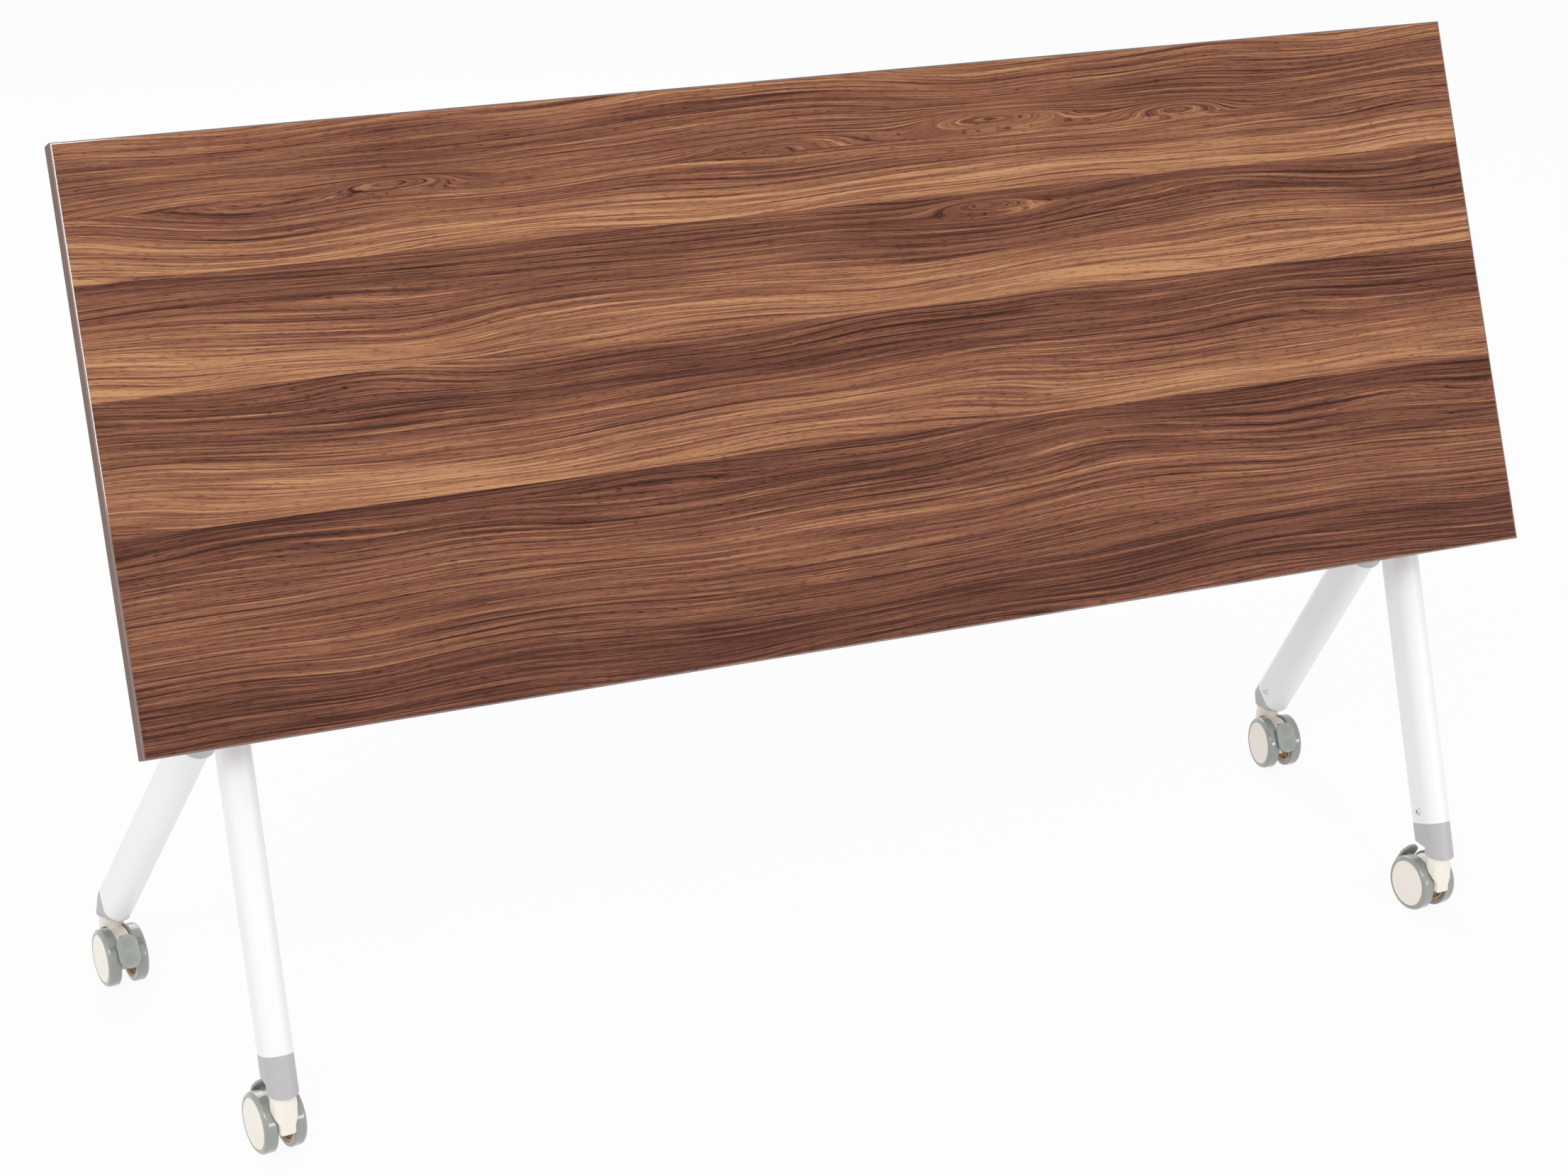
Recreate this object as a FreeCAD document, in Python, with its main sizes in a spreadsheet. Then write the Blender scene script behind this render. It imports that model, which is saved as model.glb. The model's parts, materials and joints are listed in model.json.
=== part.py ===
import FreeCAD, Part
import math
import os
import re
import Sketcher

# Driving sizes in millimetres; names ending in deg are degrees, in share are shares, in count are numbers.
SIZES = {
    # desktop
    "desk_width": 1600, "desk_depth": 600, "board_thickness": 25, "band_thickness": 2, "band_round": 1.2,
    "use_height": 750, "fold_lean_deg": 23, "pivot_drop": 40,
    # side frames
    "side_overhang": 107, "rear_splay": 59, "front_reach": 225, "rear_reach": 235, "caster_height": 75,
    "front_setback": 7, "joint_gap": 1.5,
    "tube_depth": 50, "tube_width": 32, "tube_wall": 1.5, "rear_top_gap": 54,
    # foot caps
    "front_cap_length": 36, "rear_cap_length": 25, "heel_rise": 9, "toe_rise": 4,
    "plug_length": 28, "plug_clearance": 0.2, "socket_depth": 24, "cap_round": 1.2,
    # leg connectors
    "sleeve_wall": 4, "sleeve_length": 116, "collar_length": 96, "sleeve_round": 2,
    # pivot heads
    "neck_length": 85, "neck_depth": 44, "head_radius": 32, "head_thickness": 24, "shoulder_height": 10,
    "spigot_length": 60, "notch_depth": 6, "notch_mouth": 11, "notch_floor": 8.6,
    "lug_length": 25, "lug_root": 8, "lug_inset": 6.5, "lug_gap": 0.3,
    # cross beam
    "beam_reach": 140, "beam_radius": 20, "beam_wall": 2, "flange_thickness": 4, "flange_length": 84,
    "flange_width": 38, "bolt_spacing": 62, "bolt_head_radius": 6.5, "bolt_head_height": 8,
    "bolt_radius": 4, "bolt_length": 18,
    # top brackets
    "bracket_plate": 3, "bracket_width": 70, "bracket_length": 300, "cheek_clearance": 0.5,
    "cheek_front": 40, "cheek_rear": 84, "ear_radius": 19, "rod_ear_radius": 12, "screw_side_margin": 9,
    "screw_end_margin": 20, "screw_radius": 2.2, "screw_length": 18, "screw_head_radius": 4.4,
    "screw_head_height": 2.6, "hole_clearance": 0.3,
    # pivot pins and bushes
    "pin_radius": 6, "pin_head_radius": 10, "pin_head_height": 4, "bush_wall": 2, "bush_flange": 3.2,
    "bush_flange_height": 1.5, "running_clearance": 0.05, "end_clearance": 0.4,
    # release
    "rod_radius": 5, "latch_angle_deg": 42, "pawl_reach": 50, "pawl_thickness": 10, "pawl_hub_radius": 10,
    "pawl_arm": 9, "pawl_tail": 6, "pawl_gap": 0.6, "tooth_depth": 5, "tooth_root": 9, "tooth_tip": 6.6,
    "release_lift_deg": 7, "lever_inset": 130, "lever_length": 118, "lever_width": 90, "lever_thickness": 6,
    "lever_hub_radius": 10, "lever_drop": 3, "lever_slope_deg": 9, "lever_round": 2, "rod_overhang": 4,
    # stop buffers
    "stop_margin": 5, "stop_radius": 12, "stop_gap": 0.4,
    # casters
    "trail": 24, "wheel_radius": 32.5, "wheel_inner": 9, "wheel_width": 14, "hub_radius": 27,
    "shoulder_outer": 4.5, "shoulder_inner": 1.5, "hub_recess": 0.6, "hub_wall": 2.2, "hub_rim": 2.4,
    "hub_bevel": 0.8, "hub_boss_radius": 7, "rib_count": 12, "rib_thickness": 1.6, "rib_recess": 2,
    "axle_radius": 3, "axle_inset": 2.6, "web_width": 17, "hood_radius": 30, "hood_flat": 1,
    "hood_end_deg": 8, "column_front": 12.5, "column_foot": 9.5, "column_bottom": 32, "column_back": 6,
    "boss_radius": 9, "hood_round": 1.5, "neck_radius": 13.5, "neck_gap": 1, "neck_drop": 8,
    "stem_radius": 5, "stem_sink": 26, "stem_tip": 1.5, "stem_chamfer": 1,
    "pedal_angle_deg": 30, "pedal_face": 38, "pedal_thickness": 3.4, "pedal_length": 38, "pedal_width": 24,
    "pedal_slot": 7.2, "tongue_clearance": 0.4, "tongue_root": 20, "tongue_half": 6, "trunnion_place": 26,
    "trunnion_radius": 2.5, "trunnion_inset": 1.5, "slot_root": 17, "slot_half": 19, "shoe_place": 15,
    "shoe_half": 3, "shoe_face": 31.5, "shoe_inset": 0.8,
    "rib_bar_length": 12, "rib_bar_width": 1.1, "rib_bar_height": 0.6, "rib_bar_step": 2.9,
    "rib_bar_start": 4.4, "rib_bar_count": 4, "pedal_round": 1, "wheel_gap": 1.2,
    # cuts run past what they cut
    "overrun": 40,
}

# Casters at rest: side, end and the swivel seen in the picture.
CORNERS = {
    "front_left": (-1, -1, 7),
    "front_right": (1, -1, 5),
    "rear_left": (-1, 1, 5),
    "rear_right": (1, 1, -6),
}
SIDES = {"left": -1, "right": 1}

# Values that follow from the driving sizes.
DERIVED = {
    "pivot_height": "use_height - board_thickness - pivot_drop",
    "front_leg_offset": "desk_width / 2 - side_overhang",
    "rear_foot_offset": "front_leg_offset + rear_splay",
    "lever_offset": "front_leg_offset - lever_inset",
    "leg_rise": "pivot_height - caster_height",
    "leg_run": "front_reach - front_setback",
    "front_angle": "atan(leg_run / leg_rise)",
    "front_span": "sqrt(leg_run^2 + leg_rise^2)",
    "joint_span": "front_span - beam_reach - flange_length / 2 - joint_gap - collar_length / 2",
    "joint_rise": "joint_span * leg_rise / front_span",
    "joint_height": "joint_rise + caster_height",
    "joint_reach": "joint_rise / leg_rise * leg_run - leg_run",
    "rear_run": "rear_reach - joint_reach",
    "rear_span": "sqrt(rear_run^2 + joint_rise^2 + rear_splay^2)",
    "bore_depth": "tube_depth - 2 * tube_wall",
    "bore_width": "tube_width - 2 * tube_wall",
    "plug_depth": "bore_depth - 2 * plug_clearance",
    "plug_width": "bore_width - 2 * plug_clearance",
    "rod_y": "head_radius * cos(latch_angle_deg) + pawl_reach * sin(latch_angle_deg)",
    "rod_z": "pawl_reach * cos(latch_angle_deg) - head_radius * sin(latch_angle_deg)",
    "cheek_inside": "head_thickness / 2 + cheek_clearance",
    "cheek_outside": "cheek_inside + bracket_plate",
    "plate_under": "pivot_drop - bracket_plate",
    "screw_side": "bracket_width / 2 - screw_side_margin",
    "screw_end": "bracket_length / 2 - screw_end_margin",
    "bush_radius": "pin_radius + running_clearance + bush_wall",
    "pin_end": "cheek_outside + bush_flange_height + end_clearance",
    "wheel_outer": "wheel_inner + wheel_width",
    "hub_face": "wheel_outer - hub_recess",
    "hub_back": "wheel_inner + hub_recess",
    "axle_end": "wheel_outer - axle_inset",
    "hood_top": "wheel_radius + hood_radius - hood_flat",
    "neck_top": "caster_height - neck_gap",
    "fold_gap": "fold_lean_deg * 1 deg - front_angle",
    "stop_reach": "front_span - joint_span - collar_length / 2 - stop_radius - stop_margin",
    "stop_rise": "(stop_reach - stop_radius) * tan(fold_gap) - tube_depth / 2 / cos(fold_gap)",
    "stop_height": "pivot_drop + stop_rise - stop_gap",
}

DOC = FreeCAD.newDocument("folding_desk")
SHEET = DOC.addObject("Spreadsheet::Sheet", "Sizes")
NODES = []
X_AXIS = FreeCAD.Vector(1, 0, 0)
Y_AXIS = FreeCAD.Vector(0, 1, 0)
Z_AXIS = FreeCAD.Vector(0, 0, 1)
NO_TURN = FreeCAD.Rotation()


def fill_sheet():
    """Write each driving size into its own cell with an alias."""
    for row, (name, value) in enumerate(SIZES.items(), 1):
        SHEET.set(f"A{row}", name)
        SHEET.set(f"B{row}", str(value))
        SHEET.setAlias(f"B{row}", name)
    DOC.recompute()


def expand(text):
    """Replace each derived name in an expression by its own expression."""
    def swap(match):
        name = match.group()
        return f"({expand(DERIVED[name])})" if name in DERIVED else name
    return re.sub(r"[a-z]\w*", swap, text)


def num(text):
    """Evaluate an expression of the sheet's names."""
    value = SHEET.evalExpression(expand(text))
    return float(getattr(value, "Value", value))


def bind(item, prop, text):
    """Bind a property to an expression of the sheet's names."""
    def prefix(match):
        return f"Sizes.{match.group()}" if match.group() in SIZES else match.group()
    item.setExpression(prop, re.sub(r"[a-z]\w*", prefix, expand(text)))


def spot(x="0", y="0", z="0"):
    """Vector from three expressions."""
    return FreeCAD.Vector(num(x), num(y), num(z))


def keep(item, label, placement):
    """Name a finished piece, place it and list it for export."""
    item.Label = label
    item.Placement = placement
    NODES.append(item)
    return item


def new_body(label):
    """Empty body."""
    return DOC.addObject("PartDesign::Body", f"Body_{label}")


def sketch_on(body, role, lift="0", offset=None):
    """Sketch on one of the body's own planes, lifted along its normal or moved by an offset."""
    sketch = body.newObject("Sketcher::SketchObject", "Outline")
    plane = next(item for item in body.Origin.OriginFeatures if item.Role == role)
    sketch.AttachmentSupport = [(plane, "")]
    sketch.MapMode = "FlatFace"
    if offset is None:
        bind(sketch, "AttachmentOffset.Base.z", lift)
    else:
        sketch.AttachmentOffset = offset
    return sketch


def fix_point(sketch, geometry, position, x, y):
    """Bind a point's two coordinates."""
    for kind, text in (("DistanceX", x), ("DistanceY", y)):
        if text is not None:
            row = sketch.addConstraint(Sketcher.Constraint(kind, -1, 1, geometry, position, num(text)))
            bind(sketch, f"Constraints[{row}]", text)


def outline(sketch, corners, arcs=None):
    """Closed outline through bound corners.

    arcs maps the number of the corner an arc leaves to its centre (x, y) and the coordinate that is bound;
    every arc turns counter-clockwise.
    """
    arcs = arcs or {}
    points = [spot(x, y) for x, y in corners]
    first = sketch.GeometryCount
    total = len(points)
    for index, point in enumerate(points):
        following = points[(index + 1) % total]
        if index in arcs:
            centre = spot(*arcs[index][0])
            start, end = point - centre, following - centre
            circle = Part.Circle(centre, Z_AXIS, start.Length)
            turn = (math.atan2(start.y, start.x), math.atan2(end.y, end.x))
            sketch.addGeometry(Part.ArcOfCircle(circle, *turn), False)
        else:
            sketch.addGeometry(Part.LineSegment(point, following), False)
    for index in range(total):
        following = first + (index + 1) % total
        sketch.addConstraint(Sketcher.Constraint("Coincident", first + index, 2, following, 1))
        fix_point(sketch, first + index, 1, *corners[index])
    for index, (centre, bound) in arcs.items():
        x, y = centre
        fix_point(sketch, first + index, 3, x if bound == "x" else None, y if bound == "y" else None)


def circle(sketch, radius, x="0", y="0"):
    """Bound circle."""
    index = sketch.addGeometry(Part.Circle(spot(x, y), Z_AXIS, num(radius)), False)
    fix_point(sketch, index, 3, x, y)
    row = sketch.addConstraint(Sketcher.Constraint("Radius", index, num(radius)))
    bind(sketch, f"Constraints[{row}]", radius)


def rectangle(sketch, left, right, low, high):
    """Bound rectangle."""
    outline(sketch, [(left, low), (right, low), (right, high), (left, high)])


def oval(sketch, width, depth):
    """Flat-oval outline: straight sides along y and round ends."""
    side, straight = f"({width}) / 2", f"(({depth}) - ({width})) / 2"
    corners = [(side, f"-{straight}"), (side, straight), (f"-{side}", straight), (f"-{side}", f"-{straight}")]
    outline(sketch, corners, {1: (("0", straight), "y"), 3: (("0", f"-{straight}"), "y")})


def pad(body, sketch, length, symmetric=False, back=False):
    """Add an extrusion."""
    item = body.newObject("PartDesign::Pad", "Pad")
    item.Profile = sketch
    bind(item, "Length", length)
    item.SideType = "Symmetric" if symmetric else "One side"
    item.Reversed = back
    return item


def pocket(body, sketch, length, symmetric=False, back=False):
    """Cut an extrusion away."""
    item = body.newObject("PartDesign::Pocket", "Pocket")
    item.Profile = sketch
    bind(item, "Length", length)
    item.SideType = "Symmetric" if symmetric else "One side"
    item.Reversed = back
    return item


def revolve(body, sketch, axis):
    """Turn a profile about one of its sketch's axes."""
    item = body.newObject("PartDesign::Revolution", "Revolution")
    item.Profile = sketch
    item.ReferenceAxis = (sketch, [axis])
    return item


def mirror(body, feature, role):
    """Repeat a feature on the other side of one of the body's planes."""
    item = body.newObject("PartDesign::Mirrored", "Mirrored")
    item.Originals = [feature]
    plane = next(each for each in body.Origin.OriginFeatures if each.Role == role)
    item.MirrorPlane = (plane, [""])
    body.Tip = item
    return item


def polar(body, feature, role, count):
    """Repeat a feature round one of the body's axes."""
    item = body.newObject("PartDesign::PolarPattern", "PolarPattern")
    item.Originals = [feature]
    axis = next(each for each in body.Origin.OriginFeatures if each.Role == role)
    item.Axis = (axis, [""])
    item.Angle = 360
    bind(item, "Occurrences", count)
    body.Tip = item
    return item


def ease(body, radius, wanted):
    """Round the edges of the body's last feature whose middle and ends satisfy a test."""
    DOC.recompute()
    last = body.Tip
    names = []
    for index, edge in enumerate(last.Shape.Edges, 1):
        middle = edge.valueAt((edge.FirstParameter + edge.LastParameter) / 2)
        if all(wanted(point) for point in (middle, *(vertex.Point for vertex in edge.Vertexes))):
            names.append(f"Edge{index}")
    fillet = body.newObject("PartDesign::Fillet", "Fillet")
    fillet.Base = (last, names)
    bind(fillet, "Radius", radius)


def rod(name, radius, length, placement=FreeCAD.Placement()):
    """Plain cylinder."""
    item = DOC.addObject("Part::Cylinder", name)
    bind(item, "Radius", radius)
    bind(item, "Height", length)
    item.Placement = placement
    return item


def headed_pin(name, head_radius, head_height, radius, length, placement):
    """Fastener: a round head above the origin plane and a shank below it."""
    head = rod(f"{name}_head", head_radius, head_height)
    shank = rod(f"{name}_shank", radius, length, FreeCAD.Placement(spot(z=f"-({length})"), NO_TURN))
    item = DOC.addObject("Part::MultiFuse", name)
    item.Shapes = [head, shank]
    item.Placement = placement
    return item


def group(label, members):
    """Separate solids kept in one piece file."""
    item = DOC.addObject("Part::Compound", f"Group_{label}")
    item.Links = members
    return keep(item, label, FreeCAD.Placement())


def along(axis):
    """Turn that points local z along an axis and keeps local x level."""
    return FreeCAD.Rotation(X_AXIS, FreeCAD.Vector(), axis, "ZXY")


def front_foot(side):
    """Point where a front leg's axis meets the plane of the foot caps' undersides."""
    return FreeCAD.Vector(side * num("front_leg_offset"), -num("leg_run"), num("caster_height"))


def rear_foot(side):
    """The same point of a rear leg."""
    return FreeCAD.Vector(side * num("rear_foot_offset"), num("rear_reach"), num("caster_height"))


def pivot(side):
    """Pivot point of one side."""
    return FreeCAD.Vector(side * num("front_leg_offset"), 0, num("pivot_height"))


def joint_point(side):
    """Point where the axes of a front and a rear leg cross."""
    return FreeCAD.Vector(side * num("front_leg_offset"), num("joint_reach"), num("joint_height"))


def front_frame(side):
    """Front leg's frame: origin at its foot, z up along its axis."""
    return FreeCAD.Placement(front_foot(side), along(pivot(side) - front_foot(side)))


def rear_frame(side):
    """Rear leg's frame: origin at its foot, z up along its axis."""
    return FreeCAD.Placement(rear_foot(side), along(joint_point(side) - rear_foot(side)))


def shift(x="0", y="0", z="0"):
    """Placement that only moves."""
    return FreeCAD.Placement(spot(x, y, z), NO_TURN)


def turn_about(axis, degrees):
    """Placement that only turns."""
    return FreeCAD.Placement(FreeCAD.Vector(), FreeCAD.Rotation(axis, degrees))


def top_frame():
    """Frame of the top: origin on the pivot axis, turned from level to the folded lean."""
    turn = FreeCAD.Rotation(X_AXIS, 90 - num("fold_lean_deg"))
    return FreeCAD.Placement(spot(z="pivot_height"), turn)


def release_frame():
    """Frame of the release rod: on the top, lifted clear of the notches."""
    lift = turn_about(X_AXIS, num("release_lift_deg"))
    return top_frame() * shift(y="rod_y", z="rod_z") * lift


def leg_tube(label, start, end, frame):
    """Flat-oval tube between two distances along a leg's axis."""
    body = new_body(label)
    sketch = sketch_on(body, "XY_Plane", start)
    oval(sketch, "tube_width", "tube_depth")
    oval(sketch, "bore_width", "bore_depth")
    pad(body, sketch, f"({end}) - ({start})")
    keep(body, label, frame)


def trim_cap(body, frame, way, rise):
    """Cut a cap away round its boss, ahead of the stem or behind it, up to a rise above the underside.

    The cut leans sideways with the leg, so the boss runs on flush from the leg's flat sides.
    """
    axis = frame.Rotation * Z_AXIS
    upright = FreeCAD.Rotation(Z_AXIS, FreeCAD.Vector(axis.x, 0, axis.z))
    place = FreeCAD.Placement(FreeCAD.Vector(), upright) * shift(z="-overrun")
    sketch = sketch_on(body, "XY_Plane", offset=place)
    plus, minus = ("", "-") if way > 0 else ("-", "")
    near, far = "(tube_width / 2)", "(tube_depth + overrun)"
    corners = [
        (f"{plus}{near}", "0"), (f"{minus}{near}", "0"), (f"{minus}{far}", "0"),
        (f"{minus}{far}", f"{plus}{far}"), (f"{plus}{far}", f"{plus}{far}"), (f"{plus}{far}", "0"),
    ]
    outline(sketch, corners, {0: (("0", "0"), "y")})
    pocket(body, sketch, f"overrun + {rise}", back=True)


def foot_cap(label, frame, stem, length, trims, upright):
    """Cap that closes a leg's tube: a skirt on the leg's line that ends level in a round boss.

    The boss has an upright socket for the caster's stem. trims lists the sides that are cut away round
    the boss and how far up. An upright leg, which doesn't splay, has a cap with an eased rim.
    """
    body = new_body(label)
    base = FreeCAD.Placement(stem, NO_TURN)
    seat = base.inverse() * frame * shift(z=length)
    skirt = sketch_on(body, "XY_Plane", offset=seat)
    oval(skirt, "tube_width", "tube_depth")
    pad(body, skirt, f"{length} + overrun", back=True)
    level = sketch_on(body, "XY_Plane")
    low, high = "-tube_depth - overrun", "tube_depth + overrun"
    rectangle(level, low, high, low, high)
    pocket(body, level, f"{length} + overrun")
    for way, rise in trims:
        trim_cap(body, frame, way, rise)
    if upright:
        ease(body, "cap_round", lambda point: abs(point.z) < num("plug_clearance"))
    plug = sketch_on(body, "XY_Plane", offset=seat)
    oval(plug, "plug_width", "plug_depth")
    pad(body, plug, "plug_length")
    socket = sketch_on(body, "XY_Plane")
    circle(socket, "stem_radius + running_clearance")
    pocket(body, socket, "socket_depth", back=True)
    keep(body, label, base)


def leg_connector(label, side):
    """Moulding that clasps the front leg and takes the top of the rear leg in a sleeve."""
    body = new_body(label)
    base = FreeCAD.Placement(joint_point(side), NO_TURN)
    front = FreeCAD.Placement(FreeCAD.Vector(), front_frame(side).Rotation)
    rear = FreeCAD.Placement(FreeCAD.Vector(), rear_frame(side).Rotation)
    sleeve = sketch_on(body, "XY_Plane", offset=rear * shift(z="-sleeve_length"))
    oval(sleeve, "tube_width + 2 * sleeve_wall", "tube_depth + 2 * sleeve_wall")
    pad(body, sleeve, "sleeve_length")
    collar = sketch_on(body, "XY_Plane", offset=front)
    oval(collar, "tube_width + 2 * sleeve_wall", "tube_depth + 2 * sleeve_wall")
    pad(body, collar, "collar_length", symmetric=True)
    inner = sketch_on(body, "XY_Plane", offset=front)
    oval(inner, "tube_width", "tube_depth")
    pocket(body, inner, "collar_length + sleeve_length + overrun", symmetric=True)
    bore = sketch_on(body, "XY_Plane", offset=rear * shift(z="-rear_top_gap"))
    oval(bore, "tube_width", "tube_depth")
    pocket(body, bore, "sleeve_length + overrun")
    ends = (front.inverse(), num("collar_length / 2")), (rear.inverse(), num("-sleeve_length"))
    half_width, half_depth = num("(tube_width + sleeve_wall) / 2"), num("(tube_depth + sleeve_wall) / 2")

    def rim(point):
        """Outer edge of the collar's upper end or the sleeve's lower end."""
        for turn, height in ends:
            local = turn * point
            proud = abs(local.x) > half_width or math.hypot(local.x, local.y) > half_depth
            if math.isclose(local.z, height, abs_tol=num("plug_clearance")) and proud:
                return True
        return False

    ease(body, "sleeve_round", rim)
    keep(body, label, base)


def pivot_head(label, side):
    """Casting on top of a front leg: spigot, neck and a round head with two latch notches and a stop lug."""
    body = new_body(label)
    frame = FreeCAD.Placement(pivot(side), front_frame(side).Rotation)
    half, root = "neck_depth / 2", "sqrt(head_radius^2 - (neck_depth / 2)^2)"
    face = sketch_on(body, "YZ_Plane")
    corners = [
        (f"-({half})", "-neck_length"), (half, "-neck_length"), (half, f"-{root}"), (f"-({half})", f"-{root}"),
    ]
    outline(face, corners, {2: (("0", "0"), "y")})
    pad(body, face, "head_thickness", symmetric=True)
    shoulder = sketch_on(body, "XY_Plane", "-neck_length")
    oval(shoulder, "tube_width", "tube_depth")
    pad(body, shoulder, "shoulder_height")
    spigot = sketch_on(body, "XY_Plane", "-neck_length")
    oval(spigot, "plug_width", "plug_depth")
    pad(body, spigot, "spigot_length", back=True)
    level = turn_about(Z_AXIS, num("front_angle"))
    lug = sketch_on(body, "YZ_Plane", offset=level * shift(z="lug_inset"))
    rectangle(lug, "0", "lug_length", "lug_root", "plate_under - lug_gap")
    mirror(body, pad(body, lug, "head_thickness / 2 - lug_inset"), "YZ_Plane")
    mouth, floor = "notch_mouth / 2", "notch_floor / 2"
    rim, bottom = "head_radius + notch_depth", "head_radius - notch_depth"
    for swing in (num("-latch_angle_deg"), num("90 - fold_lean_deg - latch_angle_deg")):
        notch = sketch_on(body, "YZ_Plane", offset=level * turn_about(Z_AXIS, swing))
        outline(notch, [(bottom, f"-{floor}"), (rim, f"-{mouth}"), (rim, mouth), (bottom, floor)])
        pocket(body, notch, "head_thickness + overrun", symmetric=True)
    bore = sketch_on(body, "YZ_Plane")
    circle(bore, "pin_radius")
    pocket(body, bore, "head_thickness + overrun", symmetric=True)
    keep(body, label, frame)


def cross_beam(label):
    """Round tube between the front legs with a flange welded on each end."""
    body = new_body(label)
    length = "2 * front_leg_offset - tube_width"
    frame = front_frame(1)
    frame.Base = FreeCAD.Vector(0, frame.Base.y, frame.Base.z)
    tube = sketch_on(body, "YZ_Plane")
    circle(tube, "beam_radius")
    pad(body, tube, length, symmetric=True)
    flange = sketch_on(body, "YZ_Plane", f"({length}) / 2")
    rectangle(flange, "-flange_width / 2", "flange_width / 2", "-flange_length / 2", "flange_length / 2")
    mirror(body, pad(body, flange, "flange_thickness", back=True), "YZ_Plane")
    bore = sketch_on(body, "YZ_Plane")
    circle(bore, "beam_radius - beam_wall")
    pocket(body, bore, f"{length} - 2 * flange_thickness", symmetric=True)
    holes = sketch_on(body, "YZ_Plane")
    for sign in ("", "-"):
        circle(holes, "bolt_radius", y=f"{sign}bolt_spacing / 2")
    pocket(body, holes, f"{length} + overrun", symmetric=True)
    keep(body, label, frame * shift(z="front_span - beam_reach"))


def beam_bolts(label):
    """Bolts that hold the beam's flanges to the legs."""
    members = []
    for name, side in SIDES.items():
        frame = front_frame(side) * shift(z="front_span - beam_reach")
        turn = FreeCAD.Placement(FreeCAD.Vector(), FreeCAD.Rotation(Z_AXIS, X_AXIS * -side))
        for end, sign in (("upper", ""), ("lower", "-")):
            inward = FreeCAD.Vector(-side * num("tube_width / 2 + flange_thickness"), 0, 0)
            place = frame * shift(z=f"{sign}bolt_spacing / 2") * FreeCAD.Placement(inward, NO_TURN) * turn
            sizes = ("bolt_head_radius", "bolt_head_height", "bolt_radius", "bolt_length")
            members.append(headed_pin(f"beam_bolt_{name}_{end}", *sizes, place))
    group(label, members)


def cap_screws(label):
    """Screws through the inner wall of each leg into its foot cap's plug."""
    members = []
    for name, (side, end, _) in CORNERS.items():
        frame, length = front_frame(side), "front_cap_length"
        if end > 0:
            frame, length = rear_frame(side), "rear_cap_length"
        turn = FreeCAD.Placement(FreeCAD.Vector(), FreeCAD.Rotation(Z_AXIS, X_AXIS * -side))
        inward = FreeCAD.Vector(-side * num("tube_width / 2"), 0, 0)
        place = frame * shift(z=f"{length} + plug_length / 2") * FreeCAD.Placement(inward, NO_TURN) * turn
        sizes = ("screw_head_radius", "screw_head_height", "screw_radius", "tube_width / 4")
        members.append(headed_pin(f"cap_screw_{name}", *sizes, place))
    group(label, members)


def pivot_pins(label):
    """Pins through the heads, each with a head outside and a retaining ring inside."""
    members = []
    for name, side in SIDES.items():
        turn = FreeCAD.Placement(FreeCAD.Vector(), FreeCAD.Rotation(Z_AXIS, X_AXIS * side))
        place = FreeCAD.Placement(pivot(side), NO_TURN) * turn
        length = "2 * pin_end + pin_head_height"
        sizes = ("pin_head_radius", "pin_head_height", "pin_radius", length)
        members.append(headed_pin(f"pivot_pin_{name}", *sizes, place * shift(z="pin_end")))
        ring = new_body(f"pin_ring_{name}")
        sketch = sketch_on(ring, "XY_Plane")
        circle(sketch, "pin_head_radius")
        circle(sketch, "pin_radius")
        pad(ring, sketch, "pin_head_height / 2")
        ring.Placement = place * shift(z="-pin_end - pin_head_height / 2")
        members.append(ring)
    group(label, members)


def desktop(label):
    """Laminated board."""
    body = new_body(label)
    sketch = sketch_on(body, "XY_Plane", "pivot_drop")
    half_width, half_depth = "(desk_width / 2 - band_thickness)", "(desk_depth / 2 - band_thickness)"
    rectangle(sketch, f"-{half_width}", half_width, f"-{half_depth}", half_depth)
    pad(body, sketch, "board_thickness")
    keep(body, label, top_frame())


def edge_band(label):
    """Strip round the board's four edges with eased arrises."""
    body = new_body(label)
    sketch = sketch_on(body, "XY_Plane", "pivot_drop")
    rectangle(sketch, "-desk_width / 2", "desk_width / 2", "-desk_depth / 2", "desk_depth / 2")
    half_width, half_depth = "(desk_width / 2 - band_thickness)", "(desk_depth / 2 - band_thickness)"
    rectangle(sketch, f"-{half_width}", half_width, f"-{half_depth}", half_depth)
    pad(body, sketch, "board_thickness")
    reach = num("desk_width / 2"), num("desk_depth / 2")
    faces = num("pivot_drop"), num("pivot_drop + board_thickness")

    def outside(point):
        """Arris of the strip's outer face."""
        level = any(math.isclose(point.z, face) for face in faces)
        return level and (math.isclose(abs(point.x), reach[0]) or math.isclose(abs(point.y), reach[1]))

    ease(body, "band_round", outside)
    keep(body, label, top_frame())


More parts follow.
